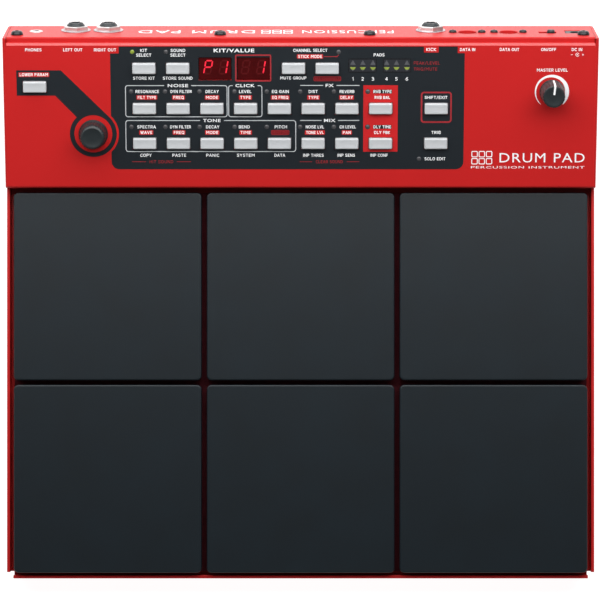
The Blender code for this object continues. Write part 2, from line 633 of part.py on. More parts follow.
def make_power_switch(plastic, rear):
    """Slide switch: a round slider in a slotted body behind the panel."""
    back = -SHEET - GAP
    block = column(rectangle(*SWITCH_BODY), back - SWITCH_BODY[1], back)
    body = add_object("power_switch_body", loft("power_switch_body", block), plastic, rear,
                      (*SWITCH_CENTRE, 0.0))
    pocket = column(rectangle(*SWITCH_SLOT), back - SLIDER_PROUD - GAP, 0.0)
    combine(body, loft("power_switch_pocket", pocket), 'DIFFERENCE')
    slider = [(circle(SLIDER_RADIUS), back - SLIDER_PROUD),
              (circle(SLIDER_RADIUS), SLIDER_PROUD - 2 * GAP),
              (circle(SLIDER_RADIUS - 2 * GAP), SLIDER_PROUD)]
    knob_mesh = loft("power_switch_slider", slider, smooth=True)
    add_object("power_switch_slider", knob_mesh, plastic, rear, (*SLIDER_CENTRE, 0.0))


def build():
    clear_scene()
    red = add_material("red_enamel", (0.56, 0.025, 0.025), 0.42)
    rubber = add_material("pad_rubber", (0.035, 0.042, 0.050), 0.72)
    steel = add_material("zinc_steel", (0.55, 0.55, 0.56), 0.40, 1.0)
    foam = add_material("black_foam", (0.02, 0.02, 0.02), 0.95)
    grey = add_material("grey_plastic", (0.60, 0.62, 0.64), 0.45)
    green = add_material("circuit_board", (0.02, 0.14, 0.06), 0.50)
    black = add_material("black_plastic", (0.012, 0.012, 0.014), 0.38)
    lens = add_material("red_lens", (0.12, 0.005, 0.008), 0.15)
    soft = add_material("foot_rubber", (0.015, 0.015, 0.015), 0.85)

    panel = add_empty("panel_frame", (0.0, PANEL_FRONT_Y, PANEL_FRONT_Z), PANEL_TILT)
    ledge_y, ledge_z = panel_point(REAR_FACE, -LEDGE_DROP)
    rear = add_empty("rear_frame", (0.0, ledge_y, ledge_z), PANEL_TILT - math.pi / 2)

    make_base_tray(red)
    make_feet(soft)
    cut_cover(make_top_cover(red), panel)
    make_rear_panel(red, rear)
    make_pads(rubber, steel, foam)
    make_buttons(grey, panel)
    make_control_board(green, panel)
    make_displays(lens, panel)
    make_controls(black, panel)
    make_io_board(green)
    make_jacks(black, rear)
    make_phones_jack(black, rear)
    make_din_sockets(black, rear)
    make_dc_socket(black, rear)
    make_power_switch(black, rear)
    bpy.context.view_layer.update()


build()
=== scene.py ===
"""Looks of the electronic drum pad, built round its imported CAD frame.

Shapes are laid out in millimetres in one of three places: WORLD (the row frame), PANEL (on the
tilted control panel: x across, y up the slope, z out of it) and REAR (on the leaning rear panel:
x across, y down it, z out of it).
"""
import json
import math

import bmesh
import bpy
from mathutils import Matrix, Vector


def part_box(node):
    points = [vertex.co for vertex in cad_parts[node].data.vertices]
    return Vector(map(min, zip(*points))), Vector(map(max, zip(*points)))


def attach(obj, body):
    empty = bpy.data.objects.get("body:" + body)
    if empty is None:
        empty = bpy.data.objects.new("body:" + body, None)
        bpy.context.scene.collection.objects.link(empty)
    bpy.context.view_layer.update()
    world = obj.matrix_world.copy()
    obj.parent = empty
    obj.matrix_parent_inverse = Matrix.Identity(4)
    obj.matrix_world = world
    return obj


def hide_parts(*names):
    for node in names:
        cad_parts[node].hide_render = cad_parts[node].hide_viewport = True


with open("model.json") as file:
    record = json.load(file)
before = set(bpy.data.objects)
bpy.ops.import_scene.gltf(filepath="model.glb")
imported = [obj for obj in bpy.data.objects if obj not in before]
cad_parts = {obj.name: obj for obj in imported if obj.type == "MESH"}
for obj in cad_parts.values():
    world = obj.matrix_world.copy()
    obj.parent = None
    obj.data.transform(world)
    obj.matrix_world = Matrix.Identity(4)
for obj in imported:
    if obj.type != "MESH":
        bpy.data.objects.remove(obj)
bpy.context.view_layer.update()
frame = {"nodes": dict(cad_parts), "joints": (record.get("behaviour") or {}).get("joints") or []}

# Places --------------------
MM = 0.001
DIAL = (-131.1, 34.9)            # centre of the endless dial on the panel
LEVEL = (158.4, 62.0)            # centre of the level knob on the panel
REAR_EDGE = (0.0, 96.0, -4.2)    # outer edge of the rear ledge, in PANEL terms
joints = {joint["name"]: joint for joint in frame["joints"]}
dial_joint = joints["encoder_turn"]
tilt = math.atan2(-dial_joint["axis"][1], dial_joint["axis"][2])
slope = Matrix.Rotation(tilt, 4, 'X')
WORLD = Matrix.Scale(MM, 4)
PANEL = (Matrix.Translation(Vector(dial_joint["pos_m"])) @ slope @ WORLD
         @ Matrix.Translation((-DIAL[0], -DIAL[1], 0.0)))
REAR = (Matrix.Translation(PANEL @ Vector(REAR_EDGE))
        @ Matrix.Rotation(tilt - math.pi / 2, 4, 'X') @ WORLD)
CHASSIS = "chassis"


# Materials --------------------
PATCH_SHARE, GRAIN_SHARE = 0.7, 0.3      # of the colour's variation
NOISE_SPAN = (0.3, 0.7)                  # noise values that count as lowest and highest


def surface(name, colour, rough, vary, patch, grain, metal=0.0, bump=0.15, rough_vary=0.06,
            specular=0.5, glow=0.0, slot=None):
    """Procedural material: slow colour patches, fine grain in the roughness and a fine bump.

    patch and grain are the sizes of the colour patches and of the grain, in millimetres. The slot
    is the record's, where the material's own name is not one.
    """
    material = bpy.data.materials.new(name)
    material.use_nodes = True
    nodes, links = material.node_tree.nodes, material.node_tree.links
    shader = nodes["Principled BSDF"]
    coordinates = nodes.new("ShaderNodeTexCoord").outputs["Object"]

    def noise(size, detail):
        node = nodes.new("ShaderNodeTexNoise")
        node.inputs["Scale"].default_value = 1.0 / (size * MM)
        node.inputs["Detail"].default_value = detail
        links.new(coordinates, node.inputs["Vector"])
        return node.outputs["Fac"]

    def remap(value, low, high):
        node = nodes.new("ShaderNodeMapRange")
        node.inputs["From Min"].default_value, node.inputs["From Max"].default_value = NOISE_SPAN
        node.inputs["To Min"].default_value = low
        node.inputs["To Max"].default_value = high
        links.new(value, node.inputs["Value"])
        return node.outputs["Result"]

    fine = noise(grain, 2.0)
    both = nodes.new("ShaderNodeMath")
    both.operation = 'ADD'
    links.new(remap(noise(patch, 3.0), 0.0, PATCH_SHARE), both.inputs[0])
    links.new(remap(fine, 0.0, GRAIN_SHARE), both.inputs[1])
    mix = nodes.new("ShaderNodeMix")
    mix.data_type = 'RGBA'
    links.new(both.outputs[0], mix.inputs["Factor"])
    mix.inputs["A"].default_value = (*[c * (1.0 - vary) for c in colour], 1.0)
    mix.inputs["B"].default_value = (*[c * (1.0 + vary) for c in colour], 1.0)
    links.new(mix.outputs["Result"], shader.inputs["Base Color"])
    links.new(remap(fine, rough - rough_vary, rough + rough_vary), shader.inputs["Roughness"])
    relief = nodes.new("ShaderNodeBump")
    relief.inputs["Strength"].default_value = bump
    relief.inputs["Distance"].default_value = grain * MM / 5
    links.new(fine, relief.inputs["Height"])
    links.new(relief.outputs["Normal"], shader.inputs["Normal"])
    shader.inputs["Metallic"].default_value = metal
    shader.inputs["Specular IOR Level"].default_value = specular
    if glow:
        links.new(mix.outputs["Result"], shader.inputs["Emission Color"])
        shader.inputs["Emission Strength"].default_value = glow
    material["slot"] = slot or name
    return material


ENAMEL_COLOUR = (0.455, 0.013, 0.013)
RED = surface("red_enamel", ENAMEL_COLOUR, 0.38, vary=0.03, patch=60, grain=0.5, bump=0.05,
              rough_vary=0.04, specular=0.2)
GLOSS_RED = surface("glossy_red_enamel", ENAMEL_COLOUR, 0.34, vary=0.03, patch=60, grain=0.5,
                    bump=0.05, rough_vary=0.04, specular=0.8, slot="red_enamel")
RUBBER = surface("pad_rubber", (0.0022, 0.0066, 0.0102), 0.45, vary=0.20, patch=26, grain=0.35,
                 bump=0.3, specular=0.36)
FOAM = surface("black_foam", (0.045, 0.006, 0.009), 0.95, vary=0.3, patch=3, grain=0.8, bump=0.8,
               specular=0.1)
STEEL = surface("zinc_steel", (0.50, 0.50, 0.52), 0.38, metal=1.0, vary=0.1, patch=8, grain=0.3)
CAP = surface("grey_plastic", (0.45, 0.465, 0.48), 0.42, vary=0.03, patch=9, grain=0.25, bump=0.12)
BOARD = surface("circuit_board", (0.015, 0.12, 0.05), 0.45, vary=0.2, patch=4, grain=0.3)
LENS = surface("red_lens", (0.048, 0.0013, 0.0018), 0.18, vary=0.15, patch=6, grain=0.5, bump=0.02,
               specular=0.3)
BLACK = surface("black_plastic", (0.011, 0.016, 0.018), 0.40, vary=0.15, patch=5, grain=0.25,
                bump=0.2)
FOOT = surface("foot_rubber", (0.014, 0.014, 0.014), 0.85, vary=0.2, patch=5, grain=0.3, bump=0.4)
NICKEL = surface("nickel", (0.80, 0.77, 0.76), 0.36, metal=1.0, vary=0.06, patch=3, grain=0.15)
SCREW = surface("black_steel", (0.011, 0.011, 0.013), 0.30, metal=0.3, vary=0.2, patch=2,
                grain=0.15)
INK = surface("printed_ink", (0.0095, 0.0130, 0.0165), 0.44, vary=0.06, patch=40, grain=0.35,
              bump=0.12, specular=0.26)
WHITE = surface("white_ink", (0.78, 0.79, 0.80), 0.45, vary=0.04, patch=4, grain=0.2, bump=0.1)
GREY_LINE = surface("grey_ink", (0.46, 0.48, 0.50), 0.45, vary=0.05, patch=4, grain=0.2,
                    slot="white_ink")
BOX_INK = {"grain": 0.3, "bump": 0.06, "specular": 0.3, "slot": "red_enamel"}
FINE_INK = {"vary": 0.08, "patch": 4, "grain": 0.2, "specular": 0.3, "slot": "red_enamel"}
RED_INK = surface("red_ink", (0.47, 0.012, 0.014), 0.42, vary=0.04, patch=10, **BOX_INK)
DEEP_RED = surface("deep_red_ink", (0.135, 0.004, 0.007), 0.45, vary=0.06, patch=6, **BOX_INK)
DULL_RED = surface("dull_red_ink", (0.26, 0.015, 0.020), 0.5, **FINE_INK)
LINE_RED = surface("red_line_ink", (0.29, 0.020, 0.026), 0.45, **FINE_INK)
LAMP = {"vary": 0.2, "patch": 1.2, "grain": 0.2, "slot": "lit_led"}
LAMP_LIT = surface("lit_led", (0.20, 0.26, 0.030), 0.25, glow=0.05, **LAMP)
LAMP_OFF = surface("dark_led", (0.058, 0.058, 0.062), 0.30, **LAMP)
METER_LIT = surface("lit_meter", (0.22, 0.28, 0.045), 0.4, **LAMP)
PANE = surface("meter_pane", (0.019, 0.021, 0.026), 0.36, vary=0.1, patch=5, grain=0.3, bump=0.02,
               rough_vary=0.02, specular=0.4, slot="printed_ink")
METER_OFF = surface("dark_meter", (0.072, 0.075, 0.082), 0.40, vary=0.15, patch=1.2, grain=0.2,
                    slot="lit_led")
DIGIT_LIT = surface("lit_digit", (0.52, 0.011, 0.026), 0.35, vary=0.12, patch=1.5, grain=0.2,
                    glow=0.9, slot="red_lens")
DIGIT_OFF = surface("dark_digit", (0.075, 0.003, 0.004), 0.22, vary=0.1, patch=1.5, grain=0.2,
                    slot="red_lens")
BRASS = surface("contact_brass", (0.70, 0.52, 0.24), 0.30, metal=1.0, vary=0.1, patch=1.5,
                grain=0.15, slot="nickel")
FLOOR = surface("pale_floor", (0.35, 0.35, 0.35), 0.90, vary=0.01, patch=400, grain=2, bump=0.03,
                specular=0.1, glow=2.65)


# Shapes --------------------
SIDES = 48                       # of a circle, unless it says otherwise


def circle(radius, sides=SIDES, centre=(0.0, 0.0)):
    """Points round a circle, counter-clockwise."""
    turns = [2 * math.pi * i / sides for i in range(sides)]
    return [(centre[0] + radius * math.cos(a), centre[1] + radius * math.sin(a)) for a in turns]


def box_outline(width, depth, radius, steps, centre=(0.0, 0.0)):
    """Rectangle outline, with its corners rounded if a radius is given."""
    points = []
    for corner, (i, j) in enumerate(((1, 1), (-1, 1), (-1, -1), (1, -1))):
        x, y = centre[0] + i * (width / 2 - radius), centre[1] + j * (depth / 2 - radius)
        for step in range(steps + 1 if radius else 1):
            angle = (corner + step / steps) * math.pi / 2
            points.append((x + radius * math.cos(angle), y + radius * math.sin(angle)))
    return points


def between(low, high, radius=0.0, steps=4):
    """Rectangle outline from its lowest and highest corner."""
    size = (high[0] - low[0], high[1] - low[1])
    centre = ((high[0] + low[0]) / 2, (high[1] + low[1]) / 2)
    return box_outline(*size, radius, steps, centre)


def rounding(steps):
    """Shares (inward, down) of a rounded edge's radius, from its side up to its top."""
    turns = [step / steps * math.pi / 2 for step in range(steps + 1)]
    return [(1 - math.cos(turn), 1 - math.sin(turn)) for turn in turns]


def skin(bm, rings, closed=False):
    """Add a solid skinned over rings of points; closed joins the last ring to the first."""
    loops = [[bm.verts.new(point) for point in ring] for ring in rings]
    pairs = list(zip(loops, loops[1:] + loops[:1])) if closed else list(zip(loops, loops[1:]))
    for lower, upper in pairs:
        for i, vertex in enumerate(lower):
            j = (i + 1) % len(lower)
            bm.faces.new((vertex, lower[j], upper[j], upper[i]))
    if not closed:
        bm.faces.new(list(reversed(loops[0])))
        bm.faces.new(loops[-1])


def stack(bm, layers):
    """Add a solid through level outlines, given as (outline, height)."""
    skin(bm, [[(x, y, z) for x, y in outline] for outline, z in layers])


def lathe(bm, profile, centre=(0.0, 0.0), sides=SIDES, closed=False):
    """Add a turned solid of (radius, height) points, or a turned ring when closed."""
    rings = [[(x, y, z) for x, y in circle(radius, sides, centre)] for radius, z in profile]
    skin(bm, rings, closed)


def sheet(bm, loops, low, high):
    """Add a flat solid with an outer outline and any number of holes."""
    flat = bmesh.new()
    for loop in loops:
        corners = [flat.verts.new((x, y, low)) for x, y in loop]
        for i, corner in enumerate(corners):
            flat.edges.new((corners[i - 1], corner))
    bmesh.ops.triangle_fill(flat, use_beauty=True, edges=flat.edges[:])
    grown = bmesh.ops.extrude_face_region(flat, geom=flat.faces[:])
    top = [item for item in grown["geom"] if isinstance(item, bmesh.types.BMVert)]
    bmesh.ops.translate(flat, verts=top, vec=(0.0, 0.0, high - low))
    join(bm, flat)


def join(bm, part):
    """Move the contents of one bmesh into another."""
    mesh = bpy.data.meshes.new("part")
    part.to_mesh(mesh)
    part.free()
    bm.from_mesh(mesh)
    bpy.data.meshes.remove(mesh)


SHARPEST_MITRE = 0.3             # cosine past which a mitred corner grows no further


def offset_path(path, distance, closed):
    """Path moved sideways by a distance, with mitred corners."""
    count = len(path)
    moved = []
    for i, point in enumerate(path):
        before = path[i - 1] if closed or i else point
        after = path[(i + 1) % count] if closed or i < count - 1 else point
        ways = [Vector(b) - Vector(a) for a, b in ((before, point), (point, after)) if a != b]
        normals = [Vector((-way.y, way.x)).normalized() for way in ways]
        across = sum(normals, Vector((0.0, 0.0))).normalized()
        reach = distance / max(across.dot(normals[0]), SHARPEST_MITRE)
        moved.append((point[0] + across.x * reach, point[1] + across.y * reach))
    return moved


def stroke(bm, path, width, low, high, closed=False):
    """Add a flat line of one width along a path."""
    left = offset_path(path, width / 2, closed)
    right = offset_path(path, -width / 2, closed)
    sheet(bm, [left, right] if closed else [left + right[::-1]], low, high)


CAP_HEIGHT = 0.692               # of the built-in font, in its own units
LETTER_SPACE = 1.12
lettering = {}


def letters(text, bold):
    """Solid letters one unit thick, as a mesh that is made once for each text."""
    if (text, bold) not in lettering:
        curve = bpy.data.curves.new("letters", 'FONT')
        curve.body, curve.extrude, curve.offset, curve.resolution_u = text, 0.5, bold, 3
        curve.space_character = LETTER_SPACE
        obj = bpy.data.objects.new("letters", curve)
        bpy.context.scene.collection.objects.link(obj)
        view = bpy.context.evaluated_depsgraph_get()
        view.update()
        lettering[text, bold] = bpy.data.meshes.new_from_object(obj.evaluated_get(view))
        bpy.data.objects.remove(obj)
        bpy.data.curves.remove(curve)
    return lettering[text, bold]


def add_text(bm, text, place, cap, low, high, width, bold, turn=0.0):
    """Add letters of the built-in font, centred on a place, with their cap height and width."""
    mesh = letters(text, bold).copy()
    across = [vertex.co.x for vertex in mesh.vertices]
    left, right = min(across), max(across)
    sizes = (width / (right - left), cap / CAP_HEIGHT, high - low, 1.0)
    mesh.transform(Matrix.Translation((*place, (low + high) / 2)) @ Matrix.Rotation(turn, 4, 'Z')
                   @ Matrix.Diagonal(sizes)
                   @ Matrix.Translation((-(left + right) / 2, -CAP_HEIGHT / 2, 0.0)))
    bm.from_mesh(mesh)
    bpy.data.meshes.remove(mesh)


ROUND = [(0.3, 0), (0.7, 0), (1, 0.22), (1, 0.78), (0.7, 1), (0.3, 1), (0, 0.78), (0, 0.22),
         (0.3, 0)]
BOWL = [(0, 0.45), (0.7, 0.45), (1, 0.58), (1, 0.87), (0.7, 1), (0, 1)]
# Plain narrow capitals: width, then the strokes of each, in units of the cap height.
GLYPHS = {
    " ": (0.12, []), "/": (0.3, [[(0, -0.05), (1, 1.05)]]),
    "A": (0.58, [[(0, 0), (0.46, 1)], [(0.54, 1), (1, 0)], [(0.2, 0.3), (0.8, 0.3)]]),
    "B": (0.48, [BOWL, [(0, 1), (0, 0), (0.7, 0), (1, 0.12), (1, 0.35), (0.7, 0.48)]]),
    "C": (0.48, [[(1, 0.9), (0.7, 1), (0.35, 1), (0, 0.74), (0, 0.26), (0.35, 0), (0.7, 0),
                  (1, 0.1)]]),
    "D": (0.55, [[(0, 1), (0, 0), (0.55, 0), (1, 0.3), (1, 0.7), (0.55, 1), (0, 1)]]),
    "E": (0.42, [[(1, 1), (0, 1), (0, 0), (1, 0)], [(0, 0.5), (0.85, 0.5)]]),
    "F": (0.40, [[(1, 1), (0, 1), (0, 0)], [(0, 0.5), (0.85, 0.5)]]),
    "G": (0.54, [[(1, 0.9), (0.7, 1), (0.35, 1), (0, 0.74), (0, 0.26), (0.35, 0), (1, 0.04),
                  (1, 0.46), (0.6, 0.46)]]),
    "H": (0.52, [[(0, 0), (0, 1)], [(1, 0), (1, 1)], [(0, 0.5), (1, 0.5)]]),
    "I": (0.0, [[(0, 0), (0, 1)]]),
    "K": (0.46, [[(0, 0), (0, 1)], [(1, 1), (0.1, 0.5)], [(0.1, 0.5), (1, 0)]]),
    "L": (0.40, [[(0, 1), (0, 0), (1, 0)]]),
    "M": (0.68, [[(0, 0), (0, 1)], [(1, 0), (1, 1)], [(0.08, 1), (0.5, 0.42)],
                 [(0.5, 0.42), (0.92, 1)]]),
    "N": (0.54, [[(0, 0), (0, 1)], [(1, 0), (1, 1)], [(0.06, 1), (0.94, 0)]]),
    "O": (0.60, [ROUND]), "P": (0.46, [BOWL, [(0, 0), (0, 1)]]),
    "Q": (0.60, [ROUND, [(0.6, 0.25), (1.05, -0.1)]]),
    "R": (0.48, [BOWL, [(0, 0), (0, 1)], [(0.5, 0.42), (1, 0)]]),
    "S": (0.44, [[(0.95, 0.93), (0.6, 1), (0.3, 1), (0, 0.85), (0, 0.65), (0.3, 0.55), (0.7, 0.46),
                  (1, 0.34), (1, 0.14), (0.7, 0), (0.4, 0), (0, 0.07)]]),
    "T": (0.48, [[(0, 1), (1, 1)], [(0.5, 1), (0.5, 0)]]),
    "U": (0.52, [[(0, 1), (0, 0.24), (0.28, 0), (0.72, 0), (1, 0.24), (1, 1)]]),
    "V": (0.54, [[(0, 1), (0.46, 0)], [(0.54, 0), (1, 1)]]),
    "W": (0.80, [[(0, 1), (0.23, 0)], [(0.27, 0), (0.49, 1)], [(0.51, 1), (0.73, 0)],
                 [(0.77, 0), (1, 1)]]),
    "X": (0.52, [[(0, 0), (1, 1)], [(0, 1), (1, 0)]]),
    "Y": (0.50, [[(0, 1), (0.5, 0.45)], [(0.5, 0.45), (1, 1)], [(0.5, 0.48), (0.5, 0)]]),
    "1": (0.22, [[(0, 0.8), (1, 1), (1, 0)]]),
    "2": (0.46, [[(0, 0.85), (0.3, 1), (0.7, 1), (1, 0.82), (1, 0.62), (0, 0)], [(0, 0), (1, 0)]]),
    "3": (0.44, [[(0, 0.95), (0.65, 1), (0.95, 0.84), (0.95, 0.66), (0.65, 0.53), (0.3, 0.53)],
                 [(0.6, 0.53), (1, 0.38), (1, 0.14), (0.7, 0), (0, 0.04)]]),
    "4": (0.50, [[(0.75, 0), (0.75, 1)], [(0.75, 1), (0, 0.3)], [(0, 0.28), (1, 0.28)]]),
    "5": (0.44, [[(0.95, 1), (0.1, 1), (0.05, 0.56), (0.6, 0.6), (1, 0.42), (1, 0.16), (0.7, 0),
                  (0, 0.03)]]),
    "6": (0.48, [[(0.9, 1), (0.45, 0.95), (0, 0.6), (0, 0.4)],
                 [(0, 0.2), (0.3, 0), (0.7, 0), (1, 0.2), (1, 0.4), (0.7, 0.6), (0.3, 0.6), (0, 0.4),
                  (0, 0.2)]])}
GLYPH_GAP = 0.3
STROKE_STEP = 0.004              # rise from one stroke of a letter to the next, so none coincide


def carried_on(path, reach):
    """Open path with both of its ends carried on by a reach."""
    ends = []
    for end, inner in ((path[0], path[1]), (path[-1], path[-2])):
        way = (Vector(end) - Vector(inner)).normalized() * reach
        ends.append((end[0] + way.x, end[1] + way.y))
    return [ends[0], *path[1:-1], ends[1]]


def legend(bm, text, place, cap, low, high, width, line=0.35):
    """Add narrow capitals drawn with strokes, centred on a place and spread over a width."""
    natural = sum(GLYPHS[letter][0] for letter in text) + GLYPH_GAP * (len(text) - 1)
    scale = (width - line) / natural
    u, v = place[0] - natural * scale / 2, place[1] - cap / 2
    for letter in text:
        wide, paths = GLYPHS[letter]
        for layer, path in enumerate(paths):
            points = [(u + x * wide * scale, v + line / 2 + y * (cap - line)) for x, y in path]
            loop = path[0] == path[-1]
            points = points[:-1] if loop else carried_on(points, line / 2)
            stroke(bm, points, line, low, high + STROKE_STEP * layer, closed=loop)
        u += (wide + GLYPH_GAP) * scale


SHARP_ANGLE = math.radians(38)   # edges past it stay sharp
BEVEL_ANGLE = math.radians(40)   # edges past it are softened
FLAT_ANGLE = math.radians(0.6)   # faces within it are joined
WELD, CAD_WELD = 0.001 * MM, 0.004 * MM


def make_object(name, bm, material):
    """Turn a bmesh in metres into an object of the scene."""
    mesh = bpy.data.meshes.new(name)
    bm.to_mesh(mesh)
    bm.free()
    mesh.materials.append(material)
    obj = bpy.data.objects.new(name, mesh)
    bpy.context.scene.collection.objects.link(obj)
    return obj


def finish_piece(obj, body, replaces):
    """Shade a piece, hang it on its body and hide the CAD nodes it stands for."""
    obj.data.shade_smooth()
    obj.data.set_sharp_from_angle(angle=SHARP_ANGLE)
    even = obj.modifiers.new("even_normals", 'WEIGHTED_NORMAL')
    even.keep_sharp = True
    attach(obj, body)
    if replaces:
        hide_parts(*replaces)


def piece(name, bm, material, place, body=CHASSIS, replaces=(), spot=(0.0, 0.0, 0.0)):
    """Make an object of a bmesh laid out in millimetres round a spot of one of the places."""
    bmesh.ops.transform(bm, matrix=place @ Matrix.Translation(spot), verts=bm.verts)
    bmesh.ops.remove_doubles(bm, verts=bm.verts, dist=WELD)
    bmesh.ops.recalc_face_normals(bm, faces=bm.faces)
    finish_piece(make_object(name, bm, material), body, replaces)


def turned(name, profile, material, spot, sides=SIDES, closed=True):
    """Turned ring on the rear panel, or a turned solid when it isn't closed."""
    bm = bmesh.new()
    lathe(bm, profile, sides=sides, closed=closed)
    piece(name, bm, material, REAR, spot=(*spot, 0.0))


def refine(node, name, material, width, body=CHASSIS):
    """Stand a copy of a CAD node in its place, with its sharp edges softened."""
    bm = bmesh.new()
    bm.from_mesh(frame["nodes"][node].data)
    bmesh.ops.remove_doubles(bm, verts=bm.verts, dist=CAD_WELD)
    bmesh.ops.dissolve_limit(bm, angle_limit=FLAT_ANGLE, verts=bm.verts, edges=bm.edges)
    obj = make_object(name, bm, material)
    bevel = obj.modifiers.new("soft_edges", 'BEVEL')
    bevel.width = width * MM
    bevel.segments = 2
    bevel.limit_method = 'ANGLE'
    bevel.angle_limit = BEVEL_ANGLE
    bevel.use_clamp_overlap = False
    finish_piece(obj, body, (node,))
    return obj


# Case, boards and everything inside --------------------
FOLD_START, FOLD_END, FOLD_DROP = 91.45, 93.1, -1.7     # of the cover's rear fold, on PANEL
FOLD_TURN = math.radians(41)


def flatten_fold(mesh):
    """Press the cover's rear fold into the flat, glossier slanted edge that catches the light."""
    outward = Vector((0.0, math.sin(FOLD_TURN), math.cos(FOLD_TURN)))
    to_panel = PANEL.inverted()
    for vertex in mesh.vertices:
        spot = to_panel @ vertex.co
        beyond = (spot - Vector((0.0, FOLD_START, 0.0))).dot(outward)
        if beyond > 0.0 and FOLD_START < spot.y < FOLD_END and spot.z > FOLD_DROP:
            vertex.co = PANEL @ (spot - outward * beyond)
    mesh.materials.append(GLOSS_RED)
    mesh.update()
    facing = PANEL.to_3x3().normalized() @ outward
    nearly_along = 0.99
    for face in mesh.polygons:
        if face.normal.dot(facing) > nearly_along and (to_panel @ face.center).y > FOLD_START:
            face.material_index = 1


def build_case():
    """Tray, cover and rear panel with softened edges, and the looks of everything inside."""
    refine("base_tray", "tray_shell", RED, 0.35)
    cover = refine("top_cover", "cover_shell", RED, 0.3)
    flatten_fold(cover.data)
    refine("rear_panel", "rear_shell", RED, 0.3)
    looks = {"pad_foam": FOAM, "control_board": BOARD, "io_board": BOARD, "encoder_body": BLACK,
             "level_pot": BLACK, "power_switch_body": BLACK}
    looks.update({node: FOOT for node in frame["nodes"] if node.startswith("foot_")})
    looks.update({node: STEEL for node in frame["nodes"] if node.startswith("pad_plate")})
    for node, material in looks.items():
        obj = frame["nodes"][node]
        obj.data.materials.clear()
        obj.data.materials.append(material)


def build_pads():
    """Six moulded rubber pads with rounded edges."""
    low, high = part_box("pad_rubber_1")
    size = (high.x - low.x) / MM
    bottom, top = low.z / MM, high.z / MM
    edge, lower_edge, corner = 0.9, 0.3, 3.0

    def outline(inset):
        return box_outline(size - 2 * inset, size - 2 * inset, corner - inset, 12)

    for number in range(1, 7):
        low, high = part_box(f"pad_rubber_{number}")
        centre = ((low.x + high.x) / 2 / MM, (low.y + high.y) / 2 / MM, 0.0)
        bm = bmesh.new()
        layers = [(outline(lower_edge), bottom), (outline(0.0), bottom + lower_edge)]
        layers += [(outline(edge * inward), top - edge * down) for inward, down in rounding(6)]
        layers.append((outline(edge + 0.6), top))
        stack(bm, layers)
        piece(f"rubber_{number}", bm, RUBBER, WORLD, f"pad_{number}", (f"pad_rubber_{number}",),
              centre)


# Buttons --------------------
def middle(node):
    """Middle of a CAD node's box, across and up the panel."""
    points = [PANEL.inverted() @ vertex.co for vertex in frame["nodes"][node].data.vertices]
    return [(min(p[i] for p in points) + max(p[i] for p in points)) / 2 for i in (0, 1)]


BUTTONS = {node: middle(node) for node in sorted(frame["nodes"]) if node.startswith("button_")}


def build_buttons():
    """Caps with rounded edges and a shallow dish, with the lip and stem that hold them."""
    wide, deep, proud = 14.6, 6.9, 2.6
    edge, rear_edge, corner = 0.7, 1.0, 0.75
    lip_spread, stem_width = 2.2, 3.0
    foot, lip_low, lip_high = -4.0, -3.3, -2.3

    def outline(inset, rear=0.0, radius=corner):
        centre = (0.0, -rear / 2)
        return box_outline(wide - 2 * inset, deep - 2 * inset - rear, max(radius - inset, 0.15), 4,
                           centre)

    lip = box_outline(wide + lip_spread, deep + lip_spread, corner, 4)
    stem = box_outline(stem_width, stem_width, 0.4, 4)
    layers = [(stem, foot), (stem, lip_low), (lip, lip_low), (lip, lip_high),
              (outline(0.0), lip_high)]
    slack = rear_edge - edge
    layers += [(outline(edge * inward, slack * inward), proud - edge * down)
               for inward, down in rounding(4)]
    layers += [(outline(edge + 0.25, slack), proud), (outline(edge + 0.9, slack), proud - 0.05),
               (outline(edge + 2.0, slack, 2.8), proud - 0.12)]
    for node, spot in BUTTONS.items():
        bm = bmesh.new()
        stack(bm, layers)
        piece(node.replace("button_", "cap_"), bm, CAP, PANEL, node, (node,), (*spot, 0.0))


# Knobs --------------------
def fluted(radius, depth, count):
    """Circle with shallow rounded flutes cut into it."""
    points, samples = [], 8
    for i in range(count * samples):
        angle = 2 * math.pi * i / (count * samples)
        wave = 0.5 - 0.5 * math.cos(count * angle)
        r = radius - depth * wave ** 3
        points.append((r * math.sin(angle), r * math.cos(angle)))
    return points


def knob_mesh(profile, count):
    """Turned knob of (radius, height, flute depth) points, on its shaft."""
    bm = bmesh.new()
    shaft_radius, shaft_foot = 3.0, -6.0
    shaft = fluted(shaft_radius, 0.0, count)
    layers = [(shaft, shaft_foot), (shaft, profile[0][1])]
    layers += [(fluted(radius, depth, count), height) for radius, height, depth in profile]
    stack(bm, layers)
    return bm


